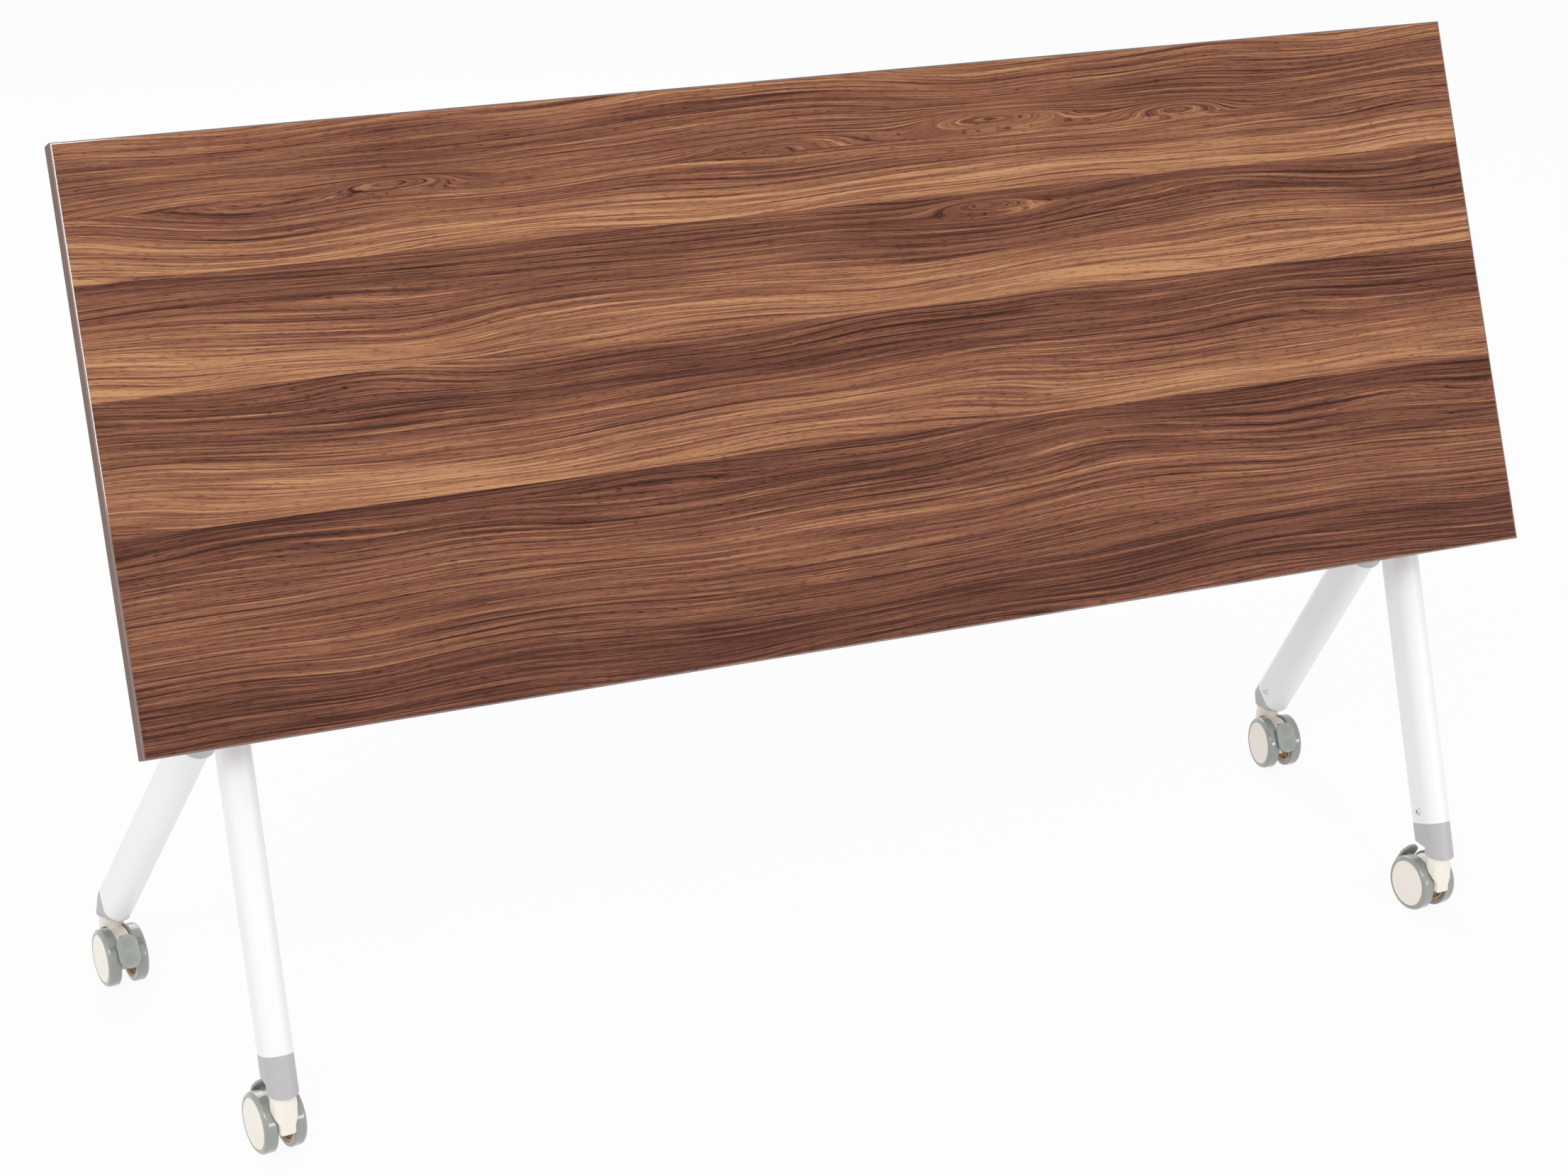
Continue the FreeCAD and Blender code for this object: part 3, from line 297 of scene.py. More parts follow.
@dataclass(frozen=True)
class WalnutFigure:
    """Printed figure of the laminate: five strips with rings, veins and pores.

    The three inner strips are dark above and golden below. Wave and ripple bend the grain by millimetres,
    waver shifts the rings by rings, and the other streaks lighten or darken the tone. A vein is a line in
    each ring, and threads are finer lines beside it.
    """

    half_width: float = 800.0
    half_depth: float = 300.0
    strip_edges: tuple[float, ...] = (77.0, 140.0, 254.0, 386.0)
    strip_shift: float = 2371.0
    strip_margin: float = 0.5
    ring: float = 8.0
    wave: Streak = Streak(0.0022, 0.006, 1.0, 60.0)
    ripple: Streak = Streak(0.0065, 0.012, 0.5, 5.0)
    waver: Streak = Streak(0.004, 0.07, 1.0, 0.6)
    broad: Streak = Streak(0.0020, 0.055, 2.0, 0.30)
    middle: Streak = Streak(0.0022, 0.25, 2.0, 0.95)
    fine: Streak = Streak(0.0045, 0.6, 2.0, 1.30)
    hair: Streak = Streak(0.016, 1.7, 2.0, 0.95)
    patch: Streak = Streak(0.0018, 0.012, 2.0, 0.26)
    vein: Streak = Streak(0.0045, 0.035, 2.0, -0.80)
    vein_shown: Span = (-0.08, 0.12)
    vein_line: Span = (0.66, 0.95)
    vein_faint: float = 0.06
    vein_gain: float = 0.30
    thread: Streak = Streak(0.007, 0.3, 1.0, -0.19)
    thread_shown: Span = (-0.05, 0.12)
    thread_line: Span = (0.72, 0.93)
    threads_in_ring: float = 2.7
    pore: Streak = Streak(0.075, 1.5, 1.0, -0.36)
    pore_shown: Span = (0.09, 0.19)
    pore_height: float = -0.7
    tone_drift: float = 30.0
    roughness: float = 0.40
    fine_roughness: float = 0.10
    pore_roughness: float = 0.12
    tones: tuple[tuple[float, float], ...] = (
        (0.0, 0.74), (0.05, 0.52), (0.10, 0.60), (0.1275, 0.54), (0.1292, 0.58), (0.16, 0.62), (0.19, 0.76),
        (0.2325, 0.92), (0.2342, 0.48), (0.30, 0.46), (0.35, 0.66), (0.4225, 0.88), (0.4242, 0.44),
        (0.48, 0.39), (0.53, 0.54), (0.58, 0.74), (0.6425, 0.76), (0.6442, 0.30), (0.70, 0.43), (0.76, 0.54),
        (0.82, 0.56), (0.88, 0.49), (0.94, 0.30), (1.0, 0.38),
    )
    eyes: tuple[Eye, ...] = (
        Eye(190, 66, 150, 16, 1.1), Eye(345, 68, 70, 8, 2.2), Eye(760, 66, 130, 15, 1.0),
        Eye(1010, 60, 100, 11, 2.8), Eye(1150, 66, 150, 15, 1.1), Eye(1245, 70, 55, 8, 2.1),
        Eye(985, 152, 70, 10, 2.6), Eye(300, 168, 190, 15, 1.1), Eye(1230, 152, 220, 16, 1.1),
        Eye(290, 262, 110, 11, 0.8), Eye(870, 262, 80, 10, 0.7), Eye(1035, 262, 90, 11, 0.8),
        Eye(150, 402, 240, 20, 1.4), Eye(560, 397, 120, 13, 0.9), Eye(1300, 406, 250, 20, 1.5),
        Eye(770, 592, 180, 18, 1.3), Eye(1040, 588, 190, 18, 1.4), Eye(1170, 574, 100, 12, 0.9),
    )
    colours: tuple[tuple[float, Colour], ...] = (
        (0.0, (0.047, 0.017, 0.012)), (0.2, (0.099, 0.037, 0.026)), (0.4, (0.176, 0.067, 0.043)),
        (0.6, (0.262, 0.107, 0.062)), (0.8, (0.390, 0.178, 0.090)), (1.0, (0.550, 0.285, 0.142)),
    )

    def effect(self) -> Effect:
        """Write the figure as a node group.

        The phase of the rings is depth over ring spacing, bent by slow noise and raised by a bell curve at
        each eye, so its level lines are the wavy lines and the eyes of flat-sawn wood. Streaks are noise
        stretched along those lines, and the tone of a strip is kept inside its edges.

        Returns:
            Group from board coordinates in millimetres to colour, roughness and height.
        """
        outputs = {"Color": Kind.COLOUR, "Roughness": Kind.NUMBER, "Height": Kind.NUMBER}
        effect = Effect("walnut_figure", {"Vector": Kind.VECTOR}, outputs)
        g = effect.graph
        x, y, _ = g.split(effect.entry.outputs["Vector"])
        along = g.math("ADD", x, self.half_width)
        down = g.math("SUBTRACT", self.half_depth, y)
        passed = [g.math("GREATER_THAN", down, edge) for edge in self.strip_edges]
        strip = g.weigh(0.0, *((step, 1.0) for step in passed))
        shifted = g.math("MULTIPLY_ADD", strip, self.strip_shift, along)

        def drawn(streak: Streak, across: Socket) -> Socket:
            """Noise of a streak over its place along and across the grain."""
            run, fine = g.math("MULTIPLY", shifted, streak.run), g.math("MULTIPLY", across, streak.fine)
            return g.noise(g.join(run, fine, strip), detail=streak.detail)

        def line(rings: Socket, span: Span) -> Socket:
            """Mark that rises over a span of each ring and falls at the ring's end."""
            saw = g.math("FRACT", rings)
            return g.math("SUBTRACT", g.smooth(saw, *span), g.smooth(saw, span[1], 1.0))

        bend = g.weigh(down, *((drawn(streak, down), streak.weight) for streak in (self.wave, self.ripple)))
        phase = g.math("DIVIDE", bend, self.ring)
        place = g.join(along, down)
        for eye in self.eyes:
            off = g.vector("SUBTRACT", place, (eye.along, eye.down, 0.0))
            off = g.vector("DIVIDE", off, (eye.reach, eye.breadth, 1.0))
            bell = g.math("EXPONENT", g.math("MULTIPLY", g.vector("DOT_PRODUCT", off, off), -1.0))
            phase = g.weigh(phase, (bell, eye.rings))
        phase = g.weigh(phase, (drawn(self.waver, down), self.waver.weight))
        across = g.math("MULTIPLY", phase, self.ring)

        figured = g.smooth(drawn(self.vein, down), *self.vein_shown)
        deep = g.math("MULTIPLY_ADD", figured, self.vein_gain, self.vein_faint)
        vein = g.math("MULTIPLY", line(phase, self.vein_line), deep)
        threads = line(g.math("MULTIPLY", phase, self.threads_in_ring), self.thread_line)
        thread = g.math("MULTIPLY", threads, g.smooth(drawn(self.thread, across), *self.thread_shown))
        pore = g.smooth(drawn(self.pore, across), *self.pore_shown)
        broad, middle, fine, hair = (
            drawn(streak, across) for streak in (self.broad, self.middle, self.fine, self.hair)
        )
        patch = drawn(self.patch, down)

        low: Value = self.strip_margin
        high: Value = self.strip_edges[0] - self.strip_margin
        ends = (0.0, *self.strip_edges, 2.0 * self.half_depth)
        for step, before, edge, after in zip(passed, ends, ends[1:], ends[2:]):
            low = g.weigh(low, (step, edge - before))
            high = g.weigh(high, (step, after - edge))
        drifted = g.weigh(bend, (broad, self.tone_drift))
        held = g.math("MINIMUM", g.math("MAXIMUM", drifted, low), high)
        grey = [(at, (tone, tone, tone)) for at, tone in self.tones]
        tone = g.weigh(
            g.ramp(g.math("DIVIDE", held, 2.0 * self.half_depth), grey),
            (broad, self.broad.weight), (middle, self.middle.weight), (fine, self.fine.weight),
            (hair, self.hair.weight), (patch, self.patch.weight), (vein, self.vein.weight),
            (thread, self.thread.weight), (pore, self.pore.weight),
        )
        roughness = g.weigh(self.roughness, (fine, self.fine_roughness), (pore, self.pore_roughness))
        height = g.weigh(hair, (pore, self.pore_height))
        g.fill(effect.exit, Color=g.ramp(tone, self.colours), Roughness=roughness, Height=height)
        return effect


@dataclass(frozen=True)
class MouldedSkin:
    """Slightly uneven skin of moulded, painted and rubber pieces."""

    wave_scale: float = 21.0
    wave_detail: float = 3.0
    wave_height: float = 0.4

    def effect(self) -> Effect:
        """Write the skin as a node group.

        Shade is a slow wave times Mottle about one, and Height is fine noise with the wave under it.

        Returns:
            Group from coordinates, fineness and mottle to shade and height.
        """
        inputs = {"Vector": Kind.VECTOR, "Fineness": Kind.NUMBER, "Mottle": Kind.NUMBER}
        effect = Effect("moulded_skin", inputs, {"Shade": Kind.NUMBER, "Height": Kind.NUMBER})
        g, source = effect.graph, effect.entry.outputs
        wave = g.noise(source["Vector"], self.wave_scale, self.wave_detail)
        shade = g.math("MULTIPLY_ADD", wave, source["Mottle"], 1.0)
        height = g.weigh(g.noise(source["Vector"], source["Fineness"]), (wave, self.wave_height))
        g.fill(effect.exit, Shade=shade, Height=height)
        return effect


@dataclass(frozen=True)
class DrawnMetal:
    """Faint drawing lines and cloudy plating on small metal pieces."""

    line_scale: Place = (60.0, 900.0, 900.0)
    line_shade: float = 0.16
    line_roughness: float = 0.25
    cloud_scale: float = 140.0
    cloud_detail: float = 3.0
    cloud_shade: float = 0.22
    cloud_roughness: float = 0.3
    roughness: float = 0.32

    def effect(self) -> Effect:
        """Write the metal as a node group.

        Shade and Roughness are plain values plus noise stretched into lines and noise in clouds.

        Returns:
            Group from coordinates to shade and roughness.
        """
        outputs = {"Shade": Kind.NUMBER, "Roughness": Kind.NUMBER}
        effect = Effect("drawn_metal", {"Vector": Kind.VECTOR}, outputs)
        g, source = effect.graph, effect.entry.outputs["Vector"]
        lines = g.noise(g.vector("MULTIPLY", source, self.line_scale))
        cloud = g.noise(source, self.cloud_scale, self.cloud_detail)
        shade = g.weigh(1.0, (lines, self.line_shade), (cloud, self.cloud_shade))
        roughness = g.weigh(self.roughness, (lines, self.line_roughness), (cloud, self.cloud_roughness))
        g.fill(effect.exit, Shade=shade, Roughness=roughness)
        return effect


@dataclass
class Effects:
    """The node groups that the finishes share, built once."""

    walnut: Effect
    skin: Effect
    metal: Effect


def start_material(name: str) -> tuple[bpy.types.Material, Graph, bpy.types.Node, Socket]:
    """Empty material with a Principled shader.

    Args:
        name: Material's name.

    Returns:
        The material, its graph, its shader and its Object coordinates.
    """
    material = bpy.data.materials.new(name)
    material.use_nodes = True
    graph = Graph(material.node_tree)
    shader = material.node_tree.nodes["Principled BSDF"]
    coordinates = graph.add("ShaderNodeTexCoord").outputs["Object"]
    return material, graph, shader, coordinates


def add_bump(graph: Graph, shader: bpy.types.Node, height: Socket, depth: float, strength: float) -> None:
    """Give a shader a bump.

    Args:
        graph: The material's graph.
        shader: Its shader.
        height: Height over the surface.
        depth: Metres that one unit of height stands for.
        strength: Share of the bump that shows.
    """
    bump = graph.add("ShaderNodeBump")
    graph.fill(bump, Height=height, Distance=depth, Strength=strength)
    graph.feed(shader.inputs["Normal"], bump.outputs[0])


def board_millimetres(graph: Graph, coordinates: Socket) -> Socket:
    """Coordinates on the level board.

    Args:
        graph: The material's graph.
        coordinates: Object coordinates in metres, with the board folded up.

    Returns:
        Millimetres from the pivot, with the fold taken out.
    """
    flip = joint("top_flip")
    fold = math.radians(-flip["range_deg"][0])
    turned = graph.add("ShaderNodeMapping", vector_type="TEXTURE")
    graph.fill(turned, Vector=coordinates, Location=flip["pos_m"])
    graph.fill(turned, Rotation=(fold, 0.0, 0.0), Scale=(MM, MM, MM))
    return turned.outputs[0]


@dataclass(frozen=True)
class LaminateFinish:
    """Walnut laminate of the board."""

    slot: str
    specular: float = 0.06
    bump_depth: float = 0.0001
    bump_strength: float = 0.35

    def material(self, effects: Effects) -> bpy.types.Material:
        """Build the material.

        Args:
            effects: The shared node groups.

        Returns:
            The material.
        """
        material, graph, shader, coordinates = start_material(self.slot)
        figure = effects.walnut.place(graph, Vector=board_millimetres(graph, coordinates)).outputs
        graph.fill(shader, Base_Color=figure["Color"], Roughness=figure["Roughness"])
        graph.fill(shader, Specular_IOR_Level=self.specular)
        add_bump(graph, shader, figure["Height"], self.bump_depth, self.bump_strength)
        return material


@dataclass(frozen=True)
class StripFinish:
    """Satin edge strip, faintly streaked along its length and polished on its front arris."""

    slot: str
    colour: Colour
    dark: Colour
    roughness: float
    arris_start: float
    arris_span: float = 0.4
    streak_scale: Place = (0.012, 0.012, 0.7)
    streak_detail: float = 3.0
    streak_shown: Span = (-0.2, 0.2)
    specular: float = 0.05
    coat_roughness: float = 0.06
    coat_ior: float = 1.8
    fineness: float = 1600.0
    bump_depth: float = 0.00006
    bump_strength: float = 0.25

    def material(self, effects: Effects) -> bpy.types.Material:
        """Build the material.

        Args:
            effects: The shared node groups.

        Returns:
            The material.
        """
        material, graph, shader, coordinates = start_material(self.slot)
        place = board_millimetres(graph, coordinates)
        streak = graph.noise(graph.vector("MULTIPLY", place, self.streak_scale), detail=self.streak_detail)
        shown = graph.smooth(streak, *self.streak_shown)
        colour = graph.ramp(shown, ((0.0, self.dark), (1.0, self.colour)))
        _, _, height = graph.split(place)
        arris = graph.smooth(height, self.arris_start, self.arris_start + self.arris_span)
        graph.fill(shader, Base_Color=colour, Roughness=self.roughness, Specular_IOR_Level=self.specular)
        graph.fill(shader, Coat_Weight=arris, Coat_Roughness=self.coat_roughness, Coat_IOR=self.coat_ior)
        skin = effects.skin.place(graph, Vector=coordinates, Fineness=self.fineness)
        add_bump(graph, shader, skin.outputs["Height"], self.bump_depth, self.bump_strength)
        return material


@dataclass(frozen=True)
class SkinFinish:
    """Moulded, painted or rubber surface."""

    slot: str
    colour: Colour
    roughness: float
    mottle: float
    fineness: float
    bump_depth: float
    bump_strength: float = 0.4
    coat: float = 0.0
    coat_roughness: float = 0.12
    coat_ior: float = 1.65

    def material(self, effects: Effects) -> bpy.types.Material:
        """Build the material.

        Args:
            effects: The shared node groups.

        Returns:
            The material.
        """
        material, graph, shader, coordinates = start_material(self.slot)
        skin = effects.skin.place(graph, Vector=coordinates, Fineness=self.fineness, Mottle=self.mottle)
        colour = graph.scale(self.colour, skin.outputs["Shade"])
        graph.fill(shader, Base_Color=colour, Roughness=self.roughness)
        graph.fill(shader, Coat_Weight=self.coat, Coat_Roughness=self.coat_roughness, Coat_IOR=self.coat_ior)
        add_bump(graph, shader, skin.outputs["Height"], self.bump_depth, self.bump_strength)
        return material


@dataclass(frozen=True)
class MetalFinish:
    """Plated or cast metal."""

    slot: str
    colour: Colour
    metallic: float = 1.0

    def material(self, effects: Effects) -> bpy.types.Material:
        """Build the material.

        Args:
            effects: The shared node groups.

        Returns:
            The material.
        """
        material, graph, shader, coordinates = start_material(self.slot)
        metal = effects.metal.place(graph, Vector=coordinates).outputs
        colour = graph.scale(self.colour, metal["Shade"])
        graph.fill(shader, Base_Color=colour, Roughness=metal["Roughness"], Metallic=self.metallic)
        return material


FINISHES = (
    LaminateFinish("walnut_laminate"),
    StripFinish("edge_strip", colour=(0.215, 0.128, 0.103), dark=(0.135, 0.076, 0.060),
                roughness=0.42, arris_start=63.7),
    SkinFinish("white_coat", (0.93, 0.93, 0.93), roughness=0.38, mottle=0.02,
               fineness=1500.0, bump_depth=0.00004),
    SkinFinish("grey_moulding", (0.51, 0.495, 0.51), roughness=0.42, mottle=0.06,
               fineness=2600.0, bump_depth=0.00005),
    MetalFinish("cast_alloy", (0.70, 0.70, 0.72)),
    MetalFinish("zinc_steel", (0.62, 0.66, 0.70)),
    SkinFinish("nylon", (0.035, 0.035, 0.038), roughness=0.45, mottle=0.2,
               fineness=2200.0, bump_depth=0.00004),
    SkinFinish("black_rubber", (0.028, 0.028, 0.028), roughness=0.7, mottle=0.3,
               fineness=1800.0, bump_depth=0.0001),
    SkinFinish("lever_grey", (0.20, 0.20, 0.22), roughness=0.45, mottle=0.12,
               fineness=2600.0, bump_depth=0.00006),
    SkinFinish("cream_nylon", (0.93, 0.87, 0.78), roughness=0.28, mottle=0.03,
               fineness=1200.0, bump_depth=0.00003, coat=0.3),
    SkinFinish("grey_tread", (0.285, 0.295, 0.27), roughness=0.30, mottle=0.10,
               fineness=900.0, bump_depth=0.00003, coat=1.0, coat_roughness=0.05),
    SkinFinish("pedal_grey", (0.38, 0.405, 0.39), roughness=0.34, mottle=0.08,
               fineness=1800.0, bump_depth=0.00004),
    # Cream nylon of the wheel cores and washers, coloured tan and brighter than the cream: painted warm light in
    # their shade.
    SkinFinish("core_painted_warm_light", (0.95, 0.70, 0.40), roughness=0.36, mottle=0.12,
               fineness=1200.0, bump_depth=0.00003, coat=0.2),
)


@dataclass(frozen=True)
class Wear:
    """Material of a piece and the slot that it stands for."""

    material: bpy.types.Material
    slot: str


@dataclass
class Shell:
    """Closed surface: points on grids, quads between them and triangles round the poles."""

    points: np.ndarray
    quads: np.ndarray
    fans: np.ndarray

    @classmethod
    def looped(cls, rings: np.ndarray) -> "Shell":
        """Close a grid both ways, as on a torus.

        Args:
            rings: Points, stations by turns by 3.

        Returns:
            The surface, facing outwards.
        """
        index = np.arange(rings.shape[0] * rings.shape[1]).reshape(rings.shape[:2])
        after = np.roll(index, -1, 0)
        quads = np.stack((index, np.roll(index, -1, 1), np.roll(after, -1, 1), after), -1)
        return cls(rings.reshape(-1, 3), quads.reshape(-1, 4), np.empty((0, 3), int)).outward()

    @classmethod
    def capped(cls, rings: np.ndarray) -> "Shell":
        """Close a grid round, with a pole in the middle of its first and of its last ring.

        Args:
            rings: Points, stations by turns by 3.

        Returns:
            The surface, facing outwards.
        """
        index = np.arange(rings.shape[0] * rings.shape[1]).reshape(rings.shape[:2])
        beside = np.roll(index, -1, 1)
        quads = np.stack((index[:-1], beside[:-1], beside[1:], index[1:]), -1)
        poles = np.broadcast_to(index.size + np.arange(2)[:, None], (2, rings.shape[1]))
        first = np.stack((poles[0], beside[0], index[0]), -1)
        last = np.stack((poles[1], index[-1], beside[-1]), -1)
        points = np.concatenate((rings.reshape(-1, 3), rings[:1].mean(1), rings[-1:].mean(1)))
        return cls(points, quads.reshape(-1, 4), np.concatenate((first, last))).outward()

    @classmethod
    def joined(cls, shells: Sequence["Shell"]) -> "Shell":
        """Put several surfaces into one, each still closed in itself.

        Args:
            shells: The surfaces.

        Returns:
            One surface with all their faces.
        """
        starts = np.cumsum([0] + [len(shell.points) for shell in shells])
        return cls(
            np.concatenate([shell.points for shell in shells]),
            np.concatenate([shell.quads + start for shell, start in zip(shells, starts)]),
            np.concatenate([shell.fans + start for shell, start in zip(shells, starts)]),
        )

    def outward(self) -> "Shell":
        """Turn the faces round where the signed volume of the tetrahedra under them is negative.

        Returns:
            The same surface.
        """
        corners = np.concatenate((self.quads[:, :3], self.quads[:, (0, 2, 3)], self.fans))
        a, b, c = (self.points[corners[:, side]] for side in range(3))
        if np.einsum("ij,ij->", a, np.cross(b, c)) < 0.0:
            self.quads, self.fans = self.quads[:, ::-1], self.fans[:, ::-1]
        return self

    def placed(self, place: np.ndarray) -> "Shell":
        """The surface, worked out in millimetres, at a placement in metres."""
        return Shell(MM * self.points @ place[:3, :3].T + place[:3, 3], self.quads, self.fans)

    def repeated(self, places: Sequence[np.ndarray]) -> "Shell":
        """One surface with a copy at each placement."""
        return Shell.joined([self.placed(place) for place in places])

    def piece(self, name: str, wear: Wear, body: str, replaced: Sequence[str] = ()) -> None:
        """Make the surface a piece of the object.

        Args:
            name: Piece's name.
            wear: Its material and slot; only the material is put on.
            body: Body that it moves with.
            replaced: CAD nodes that it stands for.
        """
        mesh = bpy.data.meshes.new(name)
        mesh.from_pydata(self.points.tolist(), [], self.quads.tolist() + self.fans.tolist())
        mesh.shade_smooth()
        mesh.set_sharp_from_angle(angle=CREASE)
        mesh.materials.append(wear.material)
        item = bpy.data.objects.new(name, mesh)
        bpy.context.scene.collection.objects.link(item)
        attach(item, body)
        if replaced:
            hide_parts(*replaced)
        LOG.info("%s rides %s with %d faces", name, body, len(mesh.polygons))


def smooth_step(value: np.ndarray) -> np.ndarray:
    """Zero below 0, one above 1 and 3 t^2 - 2 t^3 between."""
    held = np.clip(value, 0.0, 1.0)
    return held * held * (3.0 - 2.0 * held)


def even_angles(count: int) -> np.ndarray:
    """Angles that divide a full turn evenly."""
    return np.linspace(0.0, 2.0 * np.pi, count, endpoint=False)


def revolved(profile: Sequence[tuple[float, float]], turns: int) -> np.ndarray:
    """Carry a profile round the z axis.

    A point (r, h) becomes (r cos a, r sin a, h) at even angles a.

    Args:
        profile: Pairs of radius and height.
        turns: Points in a ring.

    Returns:
        Points, profile by turns by 3.
    """
    line = np.asarray(profile, float)[:, None, :]
    radius, height = line[..., 0], line[..., 1]
    angle = even_angles(turns)
    return np.stack(np.broadcast_arrays(radius * np.cos(angle), radius * np.sin(angle), height), -1)


def swept(path: np.ndarray, radius: float, axis: np.ndarray, sides: int) -> np.ndarray:
    """Carry a circle along a path.

    Each ring lies across the path's direction t: its first axis is the given axis less its part along t, and
    the second is the cross product of t and the first.

    Args:
        path: Points along the path.
        radius: Radius of the circle.
        axis: Direction that the path never follows.
        sides: Points in a ring.

    Returns:
        Points, path by sides by 3.
    """
    run = np.gradient(path, axis=0)
    run /= np.linalg.norm(run, axis=1, keepdims=True)
    first = axis - (run @ axis)[:, None] * run
    first /= np.linalg.norm(first, axis=1, keepdims=True)
    second = np.cross(run, first)
    angle = even_angles(sides)[None, :, None]
    ring = np.cos(angle) * first[:, None] + np.sin(angle) * second[:, None]
    return path[:, None] + radius * ring


def placement(origin: np.ndarray, axis: np.ndarray) -> np.ndarray:
    """Placement with its origin at a point and its z axis along a direction.

    The x axis is square to that direction and to the world axis that it leans on least.

    Args:
        origin: Point in metres.
        axis: Direction of z.

    Returns:
        Matrix of 4 by 4.
    """
    along = axis / np.linalg.norm(axis)
    across = np.cross(along, np.eye(3)[np.argmin(np.abs(along))])
    across /= np.linalg.norm(across)
    place = np.eye(4)
    place[:3] = np.stack((across, np.cross(along, across), along, origin), -1)
    return place


def node_triangles(node: str) -> tuple[np.ndarray, np.ndarray, np.ndarray]:
    """Triangles of a CAD node, apart from those with no area.

    Args:
        node: CAD node.

    Returns:
        Their middles, their normals of length one and twice their areas.
    """
    mesh = frame["nodes"][node].data
    mesh.calc_loop_triangles()
    points = np.empty(3 * len(mesh.vertices), np.float32)
    mesh.vertices.foreach_get("co", points)
    index = np.empty(3 * len(mesh.loop_triangles), np.int32)
    mesh.loop_triangles.foreach_get("vertices", index)
    corners = points.reshape(-1, 3).astype(float)[index.reshape(-1, 3)]
    normals = np.cross(corners[:, 1] - corners[:, 0], corners[:, 2] - corners[:, 0])
    areas = np.linalg.norm(normals, axis=1)
    solid = areas > 0.0
    return corners[solid].mean(1), normals[solid] / areas[solid, None], areas[solid]


def head_places(node: str, reach: float) -> list[np.ndarray]:
    """Find the heads in a node of headed pins.

    Triangles within reach of the first one left belong to one pin. The largest flat face with nothing of the
    pin beyond it is the top of its head.

    Args:
        node: CAD node.
        reach: Longest size of one pin in metres.

    Returns:
        A placement for each pin: the middle of its head's top, z facing out.
    """
    middles, normals, areas = node_triangles(node)
    places = []
    left = np.ones(len(middles), bool)
    while left.any():
        near = left & (np.linalg.norm(middles - middles[np.argmax(left)], axis=1) < reach)
        beyond = normals[near] @ middles[near].T
        beyond -= np.diag(beyond)[:, None]
        alike = (normals[near] @ normals[near].T > FLAT) & (np.abs(beyond) < SLACK)
        outer = beyond.max(1) < SLACK
        face = alike[np.argmax(alike @ areas[near] * outer)]
        weights = areas[near][face]
        centre = np.average(middles[near][face], axis=0, weights=weights)
        places.append(placement(centre, np.average(normals[near][face], axis=0, weights=weights)))
        left &= ~near
    return places


class Recess(Enum):
    """Shape of the driver's recess in a head."""

    CROSS = "cross"
    HEXAGON = "hexagon"


@dataclass(frozen=True)
class Fastener:
    """Screw in millimetres, the middle of its head's top at the origin and its shank along -z.

    Land is where the dome stops, as a share of the recess radius. The shank tapers to tip_share of its radius
    over taper_share of it, and the recess narrows from its lip to its floor by recess_shares.
    """

    node: str
    body: str
    head_radius: float
    head_height: float
    shank_radius: float
    length: float
    roundness: float
    recess: Recess
    recess_radius: float
    recess_depth: float
    recess_shares: tuple[float, float, float] = (1.0, 0.94, 0.72)
    arm_share: float = 0.24
    lip_depth: float = 0.12
    land: float = 1.25
    tip_share: float = 0.5
    taper_share: float = 0.6
    rim_rings: int = 9
    turns: int = 96

    def outline(self, angle: np.ndarray) -> np.ndarray:
        """Radius of the recess.

        A hexagon is its half width over the cosine of the angle from its nearest face. A cross is the lesser
        of its reach over the cosine and its arm's half width over the sine of the angle from its nearest arm.

        Args:
            angle: Angles in a ring.

        Returns:
            Radius at each angle.
        """
        if self.recess is Recess.HEXAGON:
            return self.recess_radius / np.cos(np.mod(angle + np.pi / 6.0, np.pi / 3.0) - np.pi / 6.0)
        fold = np.abs(np.mod(angle + np.pi / 4.0, np.pi / 2.0) - np.pi / 4.0)
        flank = self.arm_share * self.recess_radius / np.maximum(np.sin(fold), self.arm_share / 2.0)
        return np.minimum(self.recess_radius / np.cos(fold), flank)

    def dome(self, radius: np.ndarray) -> np.ndarray:
        """Height of a superellipse, (r / R)^p + (h / H)^p = 1, at a radius, less the head's height."""
        inside = np.clip(1.0 - (radius / self.head_radius) ** self.roundness, 0.0, 1.0)
        return self.head_height * (inside ** (1.0 / self.roundness) - 1.0)

    def shell(self) -> Shell:
        """Rings from the shank's tip over the head and down into the recess.

        Returns:
            The screw.
        """
        angle = even_angles(self.turns)
        shank = self.shank_radius
        under, tip = -self.head_height, -self.head_height - self.length
        last = np.arccos((self.land * self.recess_radius / self.head_radius) ** (self.roundness / 2.0))
        rim = self.head_radius * np.cos(np.linspace(0.0, last, self.rim_rings)) ** (2.0 / self.roundness)
        round_radius = np.concatenate(((self.tip_share * shank, shank, shank), rim))
        round_height = np.concatenate(((tip, tip + self.taper_share * shank, under), self.dome(rim)))
        hole = self.outline(angle)
        lip = self.dome(hole)
        sunk_radius = hole * np.array(self.recess_shares)[:, None]
        sunk_height = np.stack((lip, lip - self.lip_depth, np.full(self.turns, -self.recess_depth)))
        grid = (len(round_radius), self.turns)
        radius = np.concatenate((np.broadcast_to(round_radius[:, None], grid), sunk_radius))
        height = np.concatenate((np.broadcast_to(round_height[:, None], grid), sunk_height))
        return Shell.capped(np.stack((radius * np.cos(angle), radius * np.sin(angle), height), -1))

    def build(self, wear: Wear) -> None:
        """Make all the screws of the node one piece, which stands for it.

        Args:
            wear: Finish of the screws.
        """
        reach = MM * (self.head_height + self.length + self.head_radius)
        screws = self.shell().repeated(head_places(self.node, reach))
        screws.piece(f"{self.node}_made", wear, self.body, [self.node])


